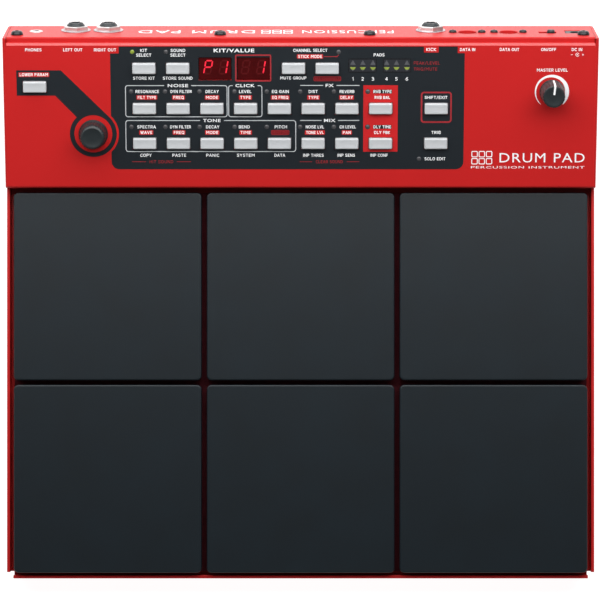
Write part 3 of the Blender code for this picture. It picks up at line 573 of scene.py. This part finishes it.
def build_knobs():
    """Endless dial with a dished top, and the taller level knob with its white pointer."""
    dial = [(8.9, 0.6, 0), (9.25, 0.9, 0), (9.25, 1.7, 0), (9.1, 2.0, 0), (8.55, 2.8, 0),
            (8.4, 3.3, 0.08), (8.33, 4.1, 0.4), (8.0, 10.6, 0.4), (7.85, 11.3, 0.34),
            (7.45, 12.1, 0.2), (6.85, 12.7, 0.06), (6.2, 13.0, 0), (5.95, 13.0, 0), (5.6, 12.86, 0),
            (2.0, 12.84, 0), (0.5, 12.84, 0)]
    piece("dial_knob", knob_mesh(dial, 26), BLACK, PANEL, "encoder_knob", ("encoder_knob",),
          (*DIAL, 0.0))
    level = [(7.6, 0.8, 0), (7.9, 1.0, 0), (7.9, 2.0, 0), (7.8, 2.3, 0), (7.6, 2.9, 0.1),
             (7.5, 3.6, 0.4), (7.1, 16.6, 0.4), (7.0, 17.3, 0.25), (6.85, 17.8, 0.08),
             (6.55, 18.0, 0), (5.4, 18.0, 0), (5.0, 17.9, 0), (2.0, 17.9, 0), (0.5, 17.9, 0)]
    piece("level_knob_body", knob_mesh(level, 20), BLACK, PANEL, "level_knob", ("level_knob",),
          (*LEVEL, 0.0))
    line = [(1.3, 18.12), (6.6, 18.12), (7.0, 17.95), (7.2, 17.3), (7.75, 3.0), (7.2, 3.0),
            (6.5, 16.8), (6.0, 17.4), (1.3, 17.4)]
    half_width, turned = 0.62, math.radians(-5.5)
    bm = bmesh.new()
    skin(bm, [[(x, y, z) for y, z in line] for x in (-half_width, half_width)])
    bmesh.ops.rotate(bm, verts=bm.verts, matrix=Matrix.Rotation(turned, 3, 'Z'))
    piece("level_knob_pointer", bm, WHITE, PANEL, "level_knob", (), (*LEVEL, 0.0))


# Printed panel --------------------
LAYERS = {"ground": (-0.02, 0.05), "box": (0.03, 0.08), "text": (0.03, 0.11),
          "direct": (-0.02, 0.06)}
BOX_TEXT = (0.06, 0.13)
BLOCK_TEXT, BLOCK_BOX = (0.1, 0.16), (0.06, 0.1)
RING_OUTER, RING_INNER, RING_NOTCH = 14.85, 12.0, 16.2
AREA_LOW, AREA_HIGH = (-119.8, 12.0), (103.2, 90.8)
BUTTON_HOLE = (15.2, 7.5)
WINDOWS = {"left": (-53.85, 76.65), "right": (-29.65, 76.65)}
WINDOW_HOLE = (20.9, 14.5)
METER_PLACES = (32.85, 39.1, 45.5, 54.1, 60.3, 66.9)


def arc(centre, radius, start, end, steps):
    """Points on an arc, with its angles in degrees, counter-clockwise from across."""
    turns = [math.radians(start + (end - start) * i / steps) for i in range(steps + 1)]
    return [(centre[0] + radius * math.cos(a), centre[1] + radius * math.sin(a)) for a in turns]


def panel_ground():
    """Black printed area with tabs left open at its top, notched round the dial's ring."""
    left, bottom = AREA_LOW
    right, top = AREA_HIGH
    corner = 5.0
    swing = math.degrees(math.acos((left - DIAL[0]) / RING_NOTCH))
    outline = arc((left + corner, bottom + corner), corner, 180, 270, 8)
    outline += arc((right - corner, bottom + corner), corner, -90, 0, 8)
    outline += [(right, 86.6), (98.7, 86.6), (98.7, top), (86.7, top), (86.7, 87.0), (77.5, 87.0),
                (77.5, top), (-114.4, top), (-114.4, 86.4), (left, 86.4)]
    outline += arc(DIAL, RING_NOTCH, swing, -swing, 16)
    holes = [box_outline(*WINDOW_HOLE, 0.0, 1, spot) for spot in WINDOWS.values()]
    bm = bmesh.new()
    for spot in BUTTONS.values():
        hole = box_outline(*BUTTON_HOLE, 0.0, 1, spot)
        if spot[0] > left:
            holes.append(hole)
        else:
            side_hole = hole
    sheet(bm, [outline] + holes, *LAYERS["ground"])
    piece("panel_ground", bm, INK, PANEL)
    bm = bmesh.new()
    band_left, band_top, band_low = -179.0, 75.65, 59.45
    band = [(band_left, band_top), (-151.0, band_top)]
    band += arc(DIAL, RING_OUTER, 45.0, -226.0, 56)
    band += [(-154.75, band_low), (band_left, band_low)]
    sheet(bm, [band, circle(RING_INNER, 64, DIAL), side_hole], *LAYERS["ground"])
    piece("dial_ground", bm, INK, PANEL)


# Words on the panel: rows of (text, across, width), or words of (text, across, up, width).
CAP_TEXT = 1.95
WHITE_WORDS = {
    88.35: [("KIT", -98.65, 4.3), ("SOUND", -77.1, 9.2)],
    85.35: [("SELECT", -98.65, 9.5), ("SELECT", -77.1, 9.5)],
    70.65: [("STORE KIT", -98.7, 13.6), ("STORE SOUND", -77.35, 18.7)],
    88.4: [("CHANNEL SELECT", 6.04, 21.4)],
    70.8: [("MUTE GROUP", -4.55, 16.4)],
    85.5: [("PADS", 49.3, 6.8)],
    62.1: [("RESONANCE", -96.7, 14.9), ("DYN FILTER", -75.4, 13.4), ("DECAY", -55.8, 8.3),
           ("LEVEL", -34.9, 7.8), ("EQ GAIN", -12.8, 10.7), ("DIST", 7.9, 5.7),
           ("REVERB", 29.2, 9.3)],
    39.4: [("SPECTRA", -97.4, 11.7), ("DYN FILTER", -75.9, 13.2), ("DECAY", -55.6, 8.4),
           ("BEND", -35.6, 7.0), ("PITCH", -12.5, 7.8), ("NOISE LVL", 9.0, 11.6),
           ("CH LEVEL", 29.8, 10.3)],
    58.3: [("SHIFT/EXIT", 85.4, 14.2)],
    35.8: [("TRIG", 85.6, 5.8)],
    21.1: [("COPY", -98.0, 7.2), ("PASTE", -76.9, 8.7), ("PANIC", -55.7, 8.2),
           ("SYSTEM", -34.7, 11.2), ("DATA", -13.2, 6.8), ("INP THRES", 8.1, 13.0),
           ("INP SENS", 28.9, 11.0), ("INP CONF", 49.7, 11.0)],
    18.8: [("SOLO EDIT", 85.1, 13.2)]}
BOXED_WORDS = {
    84.5: [("STICK MODE", 5.9, 15.0)],
    58.3: [("FILT TYPE", -97.0, 11.6), ("FREQ", -77.0, 6.6), ("MODE", -55.9, 7.6),
           ("TYPE", -34.8, 6.8), ("EQ FREQ", -12.9, 10.2), ("TYPE", 8.1, 6.5),
           ("DELAY", 29.0, 7.8)],
    35.8: [("WAVE", -97.6, 7.5), ("FREQ", -76.9, 6.6), ("MODE", -55.9, 7.6), ("TIME", -34.8, 6.5),
           ("TONE LVL", 9.0, 11.2), ("PAN", 29.2, 5.0)]}
BLOCK_WORDS = [("RVB TYPE", 51.6, 62.1, 11.4), ("RVB BAL", 51.5, 58.3, 9.8),
               ("DLY TIME", 51.6, 39.4, 11.1), ("DLY FBK", 51.5, 35.8, 10.0)]
DARK_WORDS = [("SEMITONE", -12.9, 35.8, 9.8), ("ALL CHANNELS", 16.8, 70.3, 15.6)]
HEADINGS = [("NOISE", -77.3, 65.9, 12.9), ("CLICK", -35.0, 65.9, 12.2), ("TONE", -56.1, 43.5, 11.1),
            ("FX", 18.3, 66.0, 5.2), ("MIX", 18.4, 43.55, 7.2)]
EDGE_WORDS = {
    88.7: [("PHONES", -168.0, 10.3), ("LEFT OUT", -143.2, 12.0), ("RIGHT OUT", -122.9, 14.0)],
    88.9: [("KICK", 82.0, 6.2), ("DATA IN", 104.9, 9.6), ("DATA OUT", 131.2, 12.2),
           ("ON/OFF", 155.8, 9.4), ("DC IN", 173.6, 6.6)],
    75.8: [("MASTER LEVEL", 158.4, 19.4)]}
DULL_WORDS = [("HIT SOUND", -88.2, 16.9, 15.0), ("CLEAR SOUND", 18.2, 16.9, 17.0)]
SIDE_WORDS = [("PEAK/LEVEL", 79.4, 80.3, 16.4), ("TRIG/MUTE", 78.6, 76.5, 14.8)]
NUMBER_WIDTHS = (0.85, 1.5, 1.45, 1.6, 1.45, 1.5)
DULL_LINES = [(-106.9, -98.0, 16.9), (-78.5, -69.4, 16.9), (-0.6, 7.2, 16.9), (29.2, 37.2, 16.9)]


def framed(corner_low, corner_high, gap_low, gap_high):
    """Path round a box that is open along part of its top edge."""
    (left, low), (right, high) = corner_low, corner_high
    radius = 1.5
    path = [(gap_low, high)]
    path += arc((left + radius, high - radius), radius, 90, 180, 5)
    path += arc((left + radius, low + radius), radius, 180, 270, 5)
    path += arc((right - radius, low + radius), radius, -90, 0, 5)
    path += arc((right - radius, high - radius), radius, 0, 90, 5)
    return path + [(gap_high, high)]


def placed(rows):
    """Words of some rows as (text, across, up, width)."""
    return [(text, u, v, width) for v, words in rows.items() for text, u, width in words]


def printed_lines():
    """Grey group outlines, red outlines, and the dull red lines and words."""
    low, high = LAYERS["text"]
    grey_line, thin_line, thin_stroke = 0.5, 0.35, 0.28
    bm = bmesh.new()
    for path in (framed((-110.4, 45.9), (-46.4, 65.9), -86.0, -68.9),
                 framed((-45.4, 45.9), (-24.4, 65.9), -42.8, -27.1),
                 framed((-110.5, 23.5), (-3.1, 43.5), -63.6, -48.4)):
        stroke(bm, path, grey_line, low, high)
    for left, right, v in ((-0.3, 14.2, 66.0), (22.6, 37.1, 66.0), (-0.3, 13.2, 43.55),
                           (23.6, 37.1, 43.55)):
        stroke(bm, [(left, v), (right, v)], grey_line, low, high)
    piece("group_outlines", bm, GREY_LINE, PANEL)
    bm = bmesh.new()
    stroke(bm, between((76.3, 42.5), (94.9, 61.5), 1.6, 5), 1.0, low, high, closed=True)
    stroke(bm, between((-40.8, 68.9), (-18.9, 85.3), 0.6, 3), 0.9, low, high, closed=True)
    stroke(bm, [(14.6, 84.4), (23.0, 84.4), (23.9, 85.6)], 0.45, low, high)
    piece("red_outlines", bm, LINE_RED, PANEL)
    bm = bmesh.new()
    for left, right, v in DULL_LINES:
        stroke(bm, [(left, v), (right, v)], thin_line, low, high)
    for text, u, v, width in DULL_WORDS + SIDE_WORDS:
        legend(bm, text, (u, v), CAP_TEXT, low, high, width, thin_stroke)
    piece("dull_legends", bm, DULL_RED, PANEL)


def printed_words():
    """White legends, their red boxes, and dark words in red boxes."""
    low, high = LAYERS["text"]
    number_cap, dark_cap, dark_stroke = 2.2, 1.6, 0.22
    box_spread, box_height, ground_spread = 1.4, 2.8, 0.5
    white, red, dark = bmesh.new(), bmesh.new(), bmesh.new()
    for text, u, v, width in placed(WHITE_WORDS):
        legend(white, text, (u, v), CAP_TEXT, low, high, width)
    for number, (u, width) in enumerate(zip(METER_PLACES, NUMBER_WIDTHS), 1):
        legend(white, str(number), (u, 70.2), number_cap, low, high, width)
    for text, u, v, width in placed(BOXED_WORDS):
        legend(white, text, (u, v), CAP_TEXT, *BOX_TEXT, width)
        sheet(red, [box_outline(width + box_spread, box_height, 0.3, 2, (u, v))], *LAYERS["box"])
    block = between((39.6, 23.4), (61.3, 66.1))
    holes = [box_outline(*BUTTON_HOLE, 0.0, 1, BUTTONS[node])
             for node in ("button_reverb_type", "button_delay_time")]
    sheet(red, [block] + holes, *LAYERS["box"])
    for text, u, v, width in BLOCK_WORDS:
        legend(white, text, (u, v), CAP_TEXT, *BLOCK_TEXT, width)
        if "TYPE" in text or "TIME" in text:
            ground = box_outline(width + ground_spread, CAP_TEXT + ground_spread, 0.3, 2, (u, v))
            sheet(dark, [ground], *BLOCK_BOX)
    deep, dull = bmesh.new(), bmesh.new()
    for text, u, v, width in DARK_WORDS:
        legend(dull, text, (u, v), dark_cap, *BOX_TEXT, width, dark_stroke)
        box = box_outline(width + box_spread, box_height, 0.7, 4, (u, v))
        sheet(deep, [box], *LAYERS["box"])
        stroke(dull, box, 0.3, *BOX_TEXT, closed=True)
    piece("deep_red_boxes", deep, DEEP_RED, PANEL)
    piece("dull_red_words", dull, DULL_RED, PANEL)
    piece("white_legends", white, WHITE, PANEL)
    piece("red_boxes", red, RED_INK, PANEL)
    piece("dark_grounds", dark, INK, PANEL)
    heads = bmesh.new()
    for text, u, v, width in HEADINGS:
        add_text(heads, text, (u, v), 1.9, low, high, width, 0.02)
    add_text(heads, "KIT/VALUE", (-41.9, 88.3), 2.2, low, high, 25.6, 0.025)
    piece("headings", heads, WHITE, PANEL)


def six_squares(bm, first, pitch, size, corner, line):
    """Plain mark: six small rounded squares like the pads, from the first one's middle."""
    for column in range(3):
        for row in range(2):
            spot = (first[0] + column * pitch[0], first[1] + row * pitch[1])
            stroke(bm, box_outline(*size, corner, 3, spot), line, *LAYERS["direct"], closed=True)


def level_arc():
    """Outline of the printed arc round the level knob, which swells towards the loud end."""
    thickness = {-140: 0.3, -110: 0.6, -90: 0.8, -45: 1.2, 0: 1.6, 45: 2.1, 90: 2.6, 110: 2.2,
                 125: 1.3, 140: 0.15}
    radius, steps = 10.8, 56
    turns = sorted(thickness)
    outer, inner = [], []
    for step in range(steps + 1):
        turn = turns[0] + (turns[-1] - turns[0]) * step / steps
        after = next(t for t in turns if t >= turn)
        before = max(t for t in turns if t <= turn)
        share = (turn - before) / (after - before) if after > before else 0.0
        wide = thickness[before] * (1 - share) + thickness[after] * share
        a = math.radians(90 - turn)
        for points, reach in ((outer, radius), (inner, radius - wide)):
            points.append((LEVEL[0] + reach * math.cos(a), LEVEL[1] + reach * math.sin(a)))
    return outer + inner[::-1]


def plug_sign(bm, low, high):
    """Ring round a dot, between a minus and a plus."""
    centre, reach, half, line = (174.0, 85.6), 3.4, 0.6, 0.28
    stroke(bm, arc(centre, 1.05, 20, 340, 20), line, low, high)
    sheet(bm, [circle(0.42, 16, centre)], low, high)
    minus, plus = centre[0] - reach - 0.2, centre[0] + reach
    for u in (minus, plus):
        stroke(bm, [(u - half, centre[1]), (u + half, centre[1])], line, low, high)
    stroke(bm, [(plus, centre[1] - half), (plus, centre[1] + half)], line, low, high)


def printed_on_enamel():
    """Legends straight on the red enamel, the level arc, the plug sign and the plain mark."""
    low, high = LAYERS["direct"]
    bm = bmesh.new()
    for text, u, v, width in placed(EDGE_WORDS):
        legend(bm, text, (u, v), CAP_TEXT, low, high, width)
    side_spot = (-168.0, 72.9)
    legend(bm, "LOWER PARAM", side_spot, CAP_TEXT, *BOX_TEXT, 17.9)
    sheet(bm, [level_arc()], low, high)
    plug_sign(bm, low, high)
    six_squares(bm, (110.2, 17.2), (4.6, 4.6), (3.5, 3.5), 0.6, 0.55)
    add_text(bm, "DRUM PAD", (153.0, 19.5), 6.0, low, high, 54.0, 0.0)
    add_text(bm, "PERCUSSION INSTRUMENT", (144.0, 13.3), 1.5, low, high, 72.0, 0.0)
    piece("enamel_legends", bm, WHITE, PANEL)
    red = bmesh.new()
    sheet(red, [box_outline(19.3, 2.9, 0.3, 2, side_spot)], *LAYERS["box"])
    piece("lower_param_box", red, RED_INK, PANEL)


# Displays and lamps --------------------
SEGMENTS = {"a": ((-1, 1), (1, 1)), "b": ((1, 1), (1, 0)), "c": ((1, 0), (1, -1)),
            "d": ((-1, -1), (1, -1)), "e": ((-1, 0), (-1, -1)), "f": ((-1, 1), (-1, 0)),
            "g": ((-1, 0), (1, 0))}
DIGIT_HALF = (2.1, 4.15)
DIGIT_SLANT = math.tan(math.radians(10))
DIGIT_V = 77.6
DIGITS = {"left": ((-58.2, "abefg"), (-48.5, "bc")), "right": ((-34.6, ""), (-25.0, "bc"))}


def segment(bm, centre, ends, low, high):
    """One pointed bar of a seven-segment digit."""
    half, gap = 0.46, 0.2
    start, end = (Vector((x * DIGIT_HALF[0], y * DIGIT_HALF[1])) for x, y in ends)
    way = (end - start).normalized()
    across = Vector((-way.y, way.x)) * half
    tip = way * (gap + half)
    start_tip, end_tip = start + way * gap, end - way * gap
    points = [start_tip, start + tip + across, end - tip + across, end_tip, end - tip - across,
              start + tip - across]
    outline = [(centre[0] + p.x + p.y * DIGIT_SLANT, centre[1] + p.y) for p in points]
    sheet(bm, [outline], low, high)


def build_displays():
    """Red filters over the two displays, with the digits' lit and dark bars on them."""
    surface_n = -0.3
    block, face = box_outline(20.3, 13.9, 0.5, 3), box_outline(20.0, 13.6, 0.4, 3)
    for side, spot in WINDOWS.items():
        bm = bmesh.new()
        stack(bm, [(block, -8.7), (block, -0.5), (face, surface_n)])
        piece(f"display_{side}_lens", bm, LENS, PANEL, CHASSIS, (f"display_{side}",), (*spot, 0.0))
        lit, dark = bmesh.new(), bmesh.new()
        for u, shown in DIGITS[side]:
            for key, ends in SEGMENTS.items():
                target = lit if key in shown else dark
                segment(target, (u, DIGIT_V), ends, surface_n - 0.05, surface_n + 0.04)
        piece(f"display_{side}_lit", lit, DIGIT_LIT, PANEL)
        piece(f"display_{side}_unlit", dark, DIGIT_OFF, PANEL)


def dome(bm, spot, radius, height):
    """Small lens with a rounded top."""
    profile, steps = [(radius, -0.3)], 6
    for step in range(steps):
        turn = step / steps * math.pi / 2
        profile.append((radius * math.cos(turn), height * math.sin(turn)))
    profile.append((radius * 0.12, height))
    lathe(bm, profile, spot, 20)


def build_lamps():
    columns = (-106.9, -85.5, -63.8, -41.7, -21.4, -0.3, 21.0, 42.3)
    lamps = {"kit": (-105.9, 87.4), "sound": (-84.7, 87.4), "stick": (23.9, 87.3),
             "solo": (75.0, 18.8)}
    for row, v in (("upper", 62.1), ("lower", 39.4)):
        lamps.update({f"{row}_{k}": (u, v) for k, u in enumerate(columns, 1)})
    rims, radius = bmesh.new(), 1.35
    for name, spot in lamps.items():
        bm = bmesh.new()
        dome(bm, spot, radius, 0.5)
        piece(f"lamp_{name}", bm, LAMP_LIT if name == "kit" else LAMP_OFF, PANEL)
        rim = [(radius, -0.1), (radius + 0.3, -0.1), (radius + 0.25, 0.12), (radius, 0.12)]
        lathe(rims, rim, spot, 24, closed=True)
    piece("lamp_rims", rims, PANE, PANEL)


def build_meters():
    """Two groups of three lamp pairs: dark triangles above, lit ones below."""
    pane_shade_rims, panes = bmesh.new(), bmesh.new()
    for left, right in ((30.3, 47.5), (52.0, 69.2)):
        # The black rims round the panes are painted shade: they stand in for the shade of the recess
        # each pane sits in.
        stroke(pane_shade_rims, between((left, 74.6), (right, 82.9), 0.5, 3), 0.60, 0.03, 0.14, closed=True)
        sheet(panes, [between((left + 0.2, 74.8), (right - 0.2, 82.7), 0.4, 3)], 0.02, 0.09)
    piece("meter_pane_shade_rims", pane_shade_rims, SCREW, PANEL)
    piece("meter_panes", panes, PANE, PANEL)
    for number, u in enumerate(METER_PLACES, 1):
        bm = bmesh.new()
        stack(bm, [([(u - 1.75, 79.1), (u + 1.75, 79.1), (u, 82.3)], -0.1),
                   ([(u - 1.7, 79.12), (u + 1.7, 79.12), (u, 82.2)], 0.2)])
        piece(f"meter_{number}_upper", bm, METER_OFF, PANEL)
        bm = bmesh.new()
        stack(bm, [([(u - 2.0, 77.75), (u, 75.0), (u + 2.0, 77.75)], -0.1),
                   ([(u - 1.95, 77.72), (u, 75.05), (u + 1.95, 77.72)], 0.2)])
        piece(f"meter_{number}_lower", bm, METER_OFF, PANEL)
        bm = bmesh.new()
        sheet(bm, [[(u - 1.9, 77.7), (u - 0.85, 76.15), (u + 0.85, 76.15), (u + 1.9, 77.7)]],
              0.15, 0.24)
        piece(f"meter_{number}_glow", bm, METER_LIT, PANEL)


# Rear panel --------------------
JACKS = {"left_out_jack": (-143.0, 25.0), "right_out_jack": (-122.3, 25.0), "kick_jack": (82.7, 25.0)}
DINS = {"din_in_socket": (105.7, 18.5), "din_out_socket": (131.9, 18.5)}
PHONES = (-168.0, 21.0)
DC = (174.3, 20.0)


def hexagon(across_flats):
    """Hexagon outline sampled evenly by angle, so that it can be skinned to a circle."""
    points = []
    for i in range(SIDES):
        angle = 2 * math.pi * i / SIDES
        off = (angle + math.pi / 6) % (math.pi / 3) - math.pi / 6
        r = across_flats / 2 / math.cos(off)
        points.append((r * math.cos(angle), r * math.sin(angle)))
    return points


def button_screw(name, spot, place, radius, height, socket):
    """Button-head screw with a hexagon socket, standing on z = 0."""
    shank, rim, steps = 0.55, 0.18, 5        # shares of the head's radius and height
    layers = [(circle(radius * shank), -1.5), (circle(radius * shank), -0.05),
              (circle(radius), -0.02), (circle(radius), rim * height)]
    for step in range(1, steps + 1):
        turn = step / steps * math.pi / 2
        layers.append((circle(radius * (shank + (1 - shank) * math.cos(turn))),
                       height * (rim + (1 - rim) * math.sin(turn))))
    layers += [(hexagon(socket), height), (hexagon(socket), 0.35 * height),
               (circle(0.1 * radius), 0.3 * height)]
    bm = bmesh.new()
    stack(bm, layers)
    piece(name, bm, SCREW, place, spot=(*spot, 0.0))


def build_jacks():
    """Quarter-inch jacks, each with a washer, a hexagon nut and a plated contact ring."""
    for name, spot in JACKS.items():
        refine(name, name + "_body", BLACK, 0.25)
        turned(name + "_washer", [(5.95, 0.0), (9.35, 0.0), (9.45, 0.08), (9.45, 0.38),
                                  (9.35, 0.5), (6.1, 0.5)], STEEL, spot)
        bm = bmesh.new()
        rings = [(circle(5.75), 0.53), (hexagon(14.4), 0.53), (hexagon(14.5), 0.7),
                 (hexagon(14.5), 2.9), (hexagon(14.0), 3.25), (circle(6.4), 3.3),
                 (circle(5.75), 3.0)]
        skin(bm, [[(x, y, z) for x, y in outline] for outline, z in rings], closed=True)
        bmesh.ops.rotate(bm, verts=bm.verts, matrix=Matrix.Rotation(math.radians(8), 3, 'Z'))
        piece(name + "_nut", bm, NICKEL, REAR, spot=(*spot, 0.0))
        turned(name + "_contact", [(3.3, 4.7), (4.0, 5.2), (4.1, 5.38), (3.35, 5.38), (3.3, 5.3)],
               NICKEL, spot)


def build_small_sockets():
    """Phones jack with its ring, power inlet with its contact pin, and the switch's slider."""
    refine("phones_jack", "phones_jack_body", BLACK, 0.12)
    turned("phones_ring", [(1.85, 0.4), (3.45, 0.4), (3.5, 0.02), (4.2, 0.02), (4.15, 0.3),
                           (3.7, 0.5), (3.0, 0.62), (2.1, 0.62)], NICKEL, PHONES)
    refine("dc_socket", "dc_socket_body", BLACK, 0.12)
    refine("power_switch_slider", "power_slider", BLACK, 0.25, "power_switch_slider")
    turned("dc_contact", [(0.92, -9.0), (0.92, -2.0), (0.6, -1.6)], BRASS, DC, 24, closed=False)


def build_din_sockets():
    """Round sockets: red rim in the panel's hole, shield ring, insert with five contacts."""
    for name, spot in DINS.items():
        refine(name, name + "_body", BLACK, 0.15)
        turned(name + "_rim", [(5.8, -2.5), (6.05, -2.5), (6.05, 0.0), (7.15, 0.0), (7.15, 0.06),
                               (6.3, 0.06), (5.9, -0.2)], RED, spot)
        turned(name + "_shield", [(5.35, -9.4), (5.68, -9.4), (5.68, -2.9), (5.35, -2.9)], NICKEL,
               spot)
        bm = bmesh.new()
        turns = [math.radians(turn) for turn in (0, 45, 90, 135, 180)]
        holes = [(3.9 * math.cos(turn), -3.9 * math.sin(turn)) for turn in turns]
        loops = [circle(5.3)] + [circle(0.85, 16, hole) for hole in holes]
        sheet(bm, loops, -9.6, -3.2)
        piece(name + "_insert", bm, BLACK, REAR, spot=(*spot, 0.0))
        bm = bmesh.new()
        for hole in holes:
            lathe(bm, [(0.5, -8.5), (0.8, -8.5), (0.8, -3.4), (0.5, -3.4)], hole, 16, closed=True)
        piece(name + "_contacts", bm, BRASS, REAR, spot=(*spot, 0.0))
        for side, label in ((-1, "left"), (1, "right")):
            button_screw(f"{name}_screw_{label}", (spot[0] + side * 9.2, spot[1]), REAR, 2.45, 1.5,
                         1.6)


def build_rear_screws():
    """Four button-head screws along the top of the rear panel."""
    for number, x in enumerate((-179.2, -50.8, 43.6, 178.7), 1):
        button_screw(f"rear_screw_{number}", (x, 9.5), REAR, 3.8, 2.5, 2.5)


def build_rear_print():
    """Plain mark on the rear panel, readable from behind."""
    bm = bmesh.new()
    low, high = LAYERS["direct"]
    six_squares(bm, (-8.0, 16.4), (-7.0, 7.2), (5.2, 5.4), 0.9, 0.9)
    add_text(bm, "DRUM PAD", (-66.0, 20.0), 10.5, low, high, 74.0, 0.0, math.pi)
    add_text(bm, "PERCUSSION", (30.0, 20.0), 10.5, low, high, 58.0, 0.0, math.pi)
    piece("rear_legends", bm, WHITE, REAR)


def build_feet_screws():
    """Screws sunk in the rubber feet, seen from below."""
    sunk = 3.4
    under = (WORLD @ Matrix.Rotation(math.pi, 4, 'X') @ Matrix.Translation((0.0, 0.0, -sunk)))
    for node in sorted(n for n in frame["nodes"] if n.startswith("foot_")):
        low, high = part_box(node)
        spot = ((low.x + high.x) / 2 / MM, -(low.y + high.y) / 2 / MM)
        button_screw(node.replace("foot", "foot_screw"), spot, under, 3.5, 2.0, 2.2)


# Stage --------------------
FLOOR_SIZE, FLOOR_CORNER, FLOOR_LOW, FLOOR_TOP = 6000, 400, -20.0, -0.05
# Soft lights: place, the point that each faces, size and power, in metres and watts.
LIGHTS = {"key_light": ((0.0, 0.42, 0.62), (0.0, 0.05, 0.0), (1.7, 0.5), 12.0),
          "rear_light": ((0.0, 1.10, 0.42), (0.0, 0.17, 0.04), (1.7, 0.35), 9.0),
          "front_fill": ((0.0, -1.20, 0.50), (0.0, -0.17, 0.02), (1.7, 0.4), 1.2)}
WORLD_LIGHT = 0.12
CAMERA_PLACE, CAMERA_LENS, CAMERA_SENSOR = (-0.0004, 0.0, 2.077), 193.46, 36.0


def add_light(name, place, aim, size, power):
    """Rectangular soft light that the camera doesn't see."""
    light = bpy.data.lights.new(name, 'AREA')
    light.shape = 'RECTANGLE'
    light.size, light.size_y = size
    light.energy = power
    obj = bpy.data.objects.new(name, light)
    bpy.context.scene.collection.objects.link(obj)
    obj.location = place
    obj.rotation_euler = (Vector(aim) - Vector(place)).to_track_quat('-Z', 'Y').to_euler()
    obj.visible_camera = False


def build_stage():
    """Pale floor, soft light from above and behind, and the overhead camera of the photograph."""
    scene = bpy.context.scene
    bm = bmesh.new()
    outline = box_outline(FLOOR_SIZE, FLOOR_SIZE, FLOOR_CORNER, 8)
    stack(bm, [(outline, FLOOR_LOW), (outline, FLOOR_TOP)])
    bmesh.ops.transform(bm, matrix=WORLD, verts=bm.verts)
    make_object("floor", bm, FLOOR)
    world = bpy.data.worlds.new("studio")
    world.use_nodes = True
    background = world.node_tree.nodes["Background"]
    background.inputs["Color"].default_value = (1.0, 1.0, 1.0, 1.0)
    background.inputs["Strength"].default_value = WORLD_LIGHT
    scene.world = world
    for name, setting in LIGHTS.items():
        add_light(name, *setting)
    camera = bpy.data.cameras.new("camera")
    camera.lens = CAMERA_LENS
    camera.sensor_width = CAMERA_SENSOR
    camera.clip_start, camera.clip_end = 0.05, 20.0
    eye = bpy.data.objects.new("camera", camera)
    eye.location = CAMERA_PLACE
    scene.collection.objects.link(eye)
    scene.camera = eye
    scene.view_settings.view_transform = 'Standard'


build_case()
build_pads()
build_buttons()
build_knobs()
panel_ground()
printed_lines()
printed_words()
printed_on_enamel()
build_displays()
build_lamps()
build_meters()
build_jacks()
build_small_sockets()
build_din_sockets()
build_rear_screws()
build_rear_print()
build_feet_screws()
build_stage()
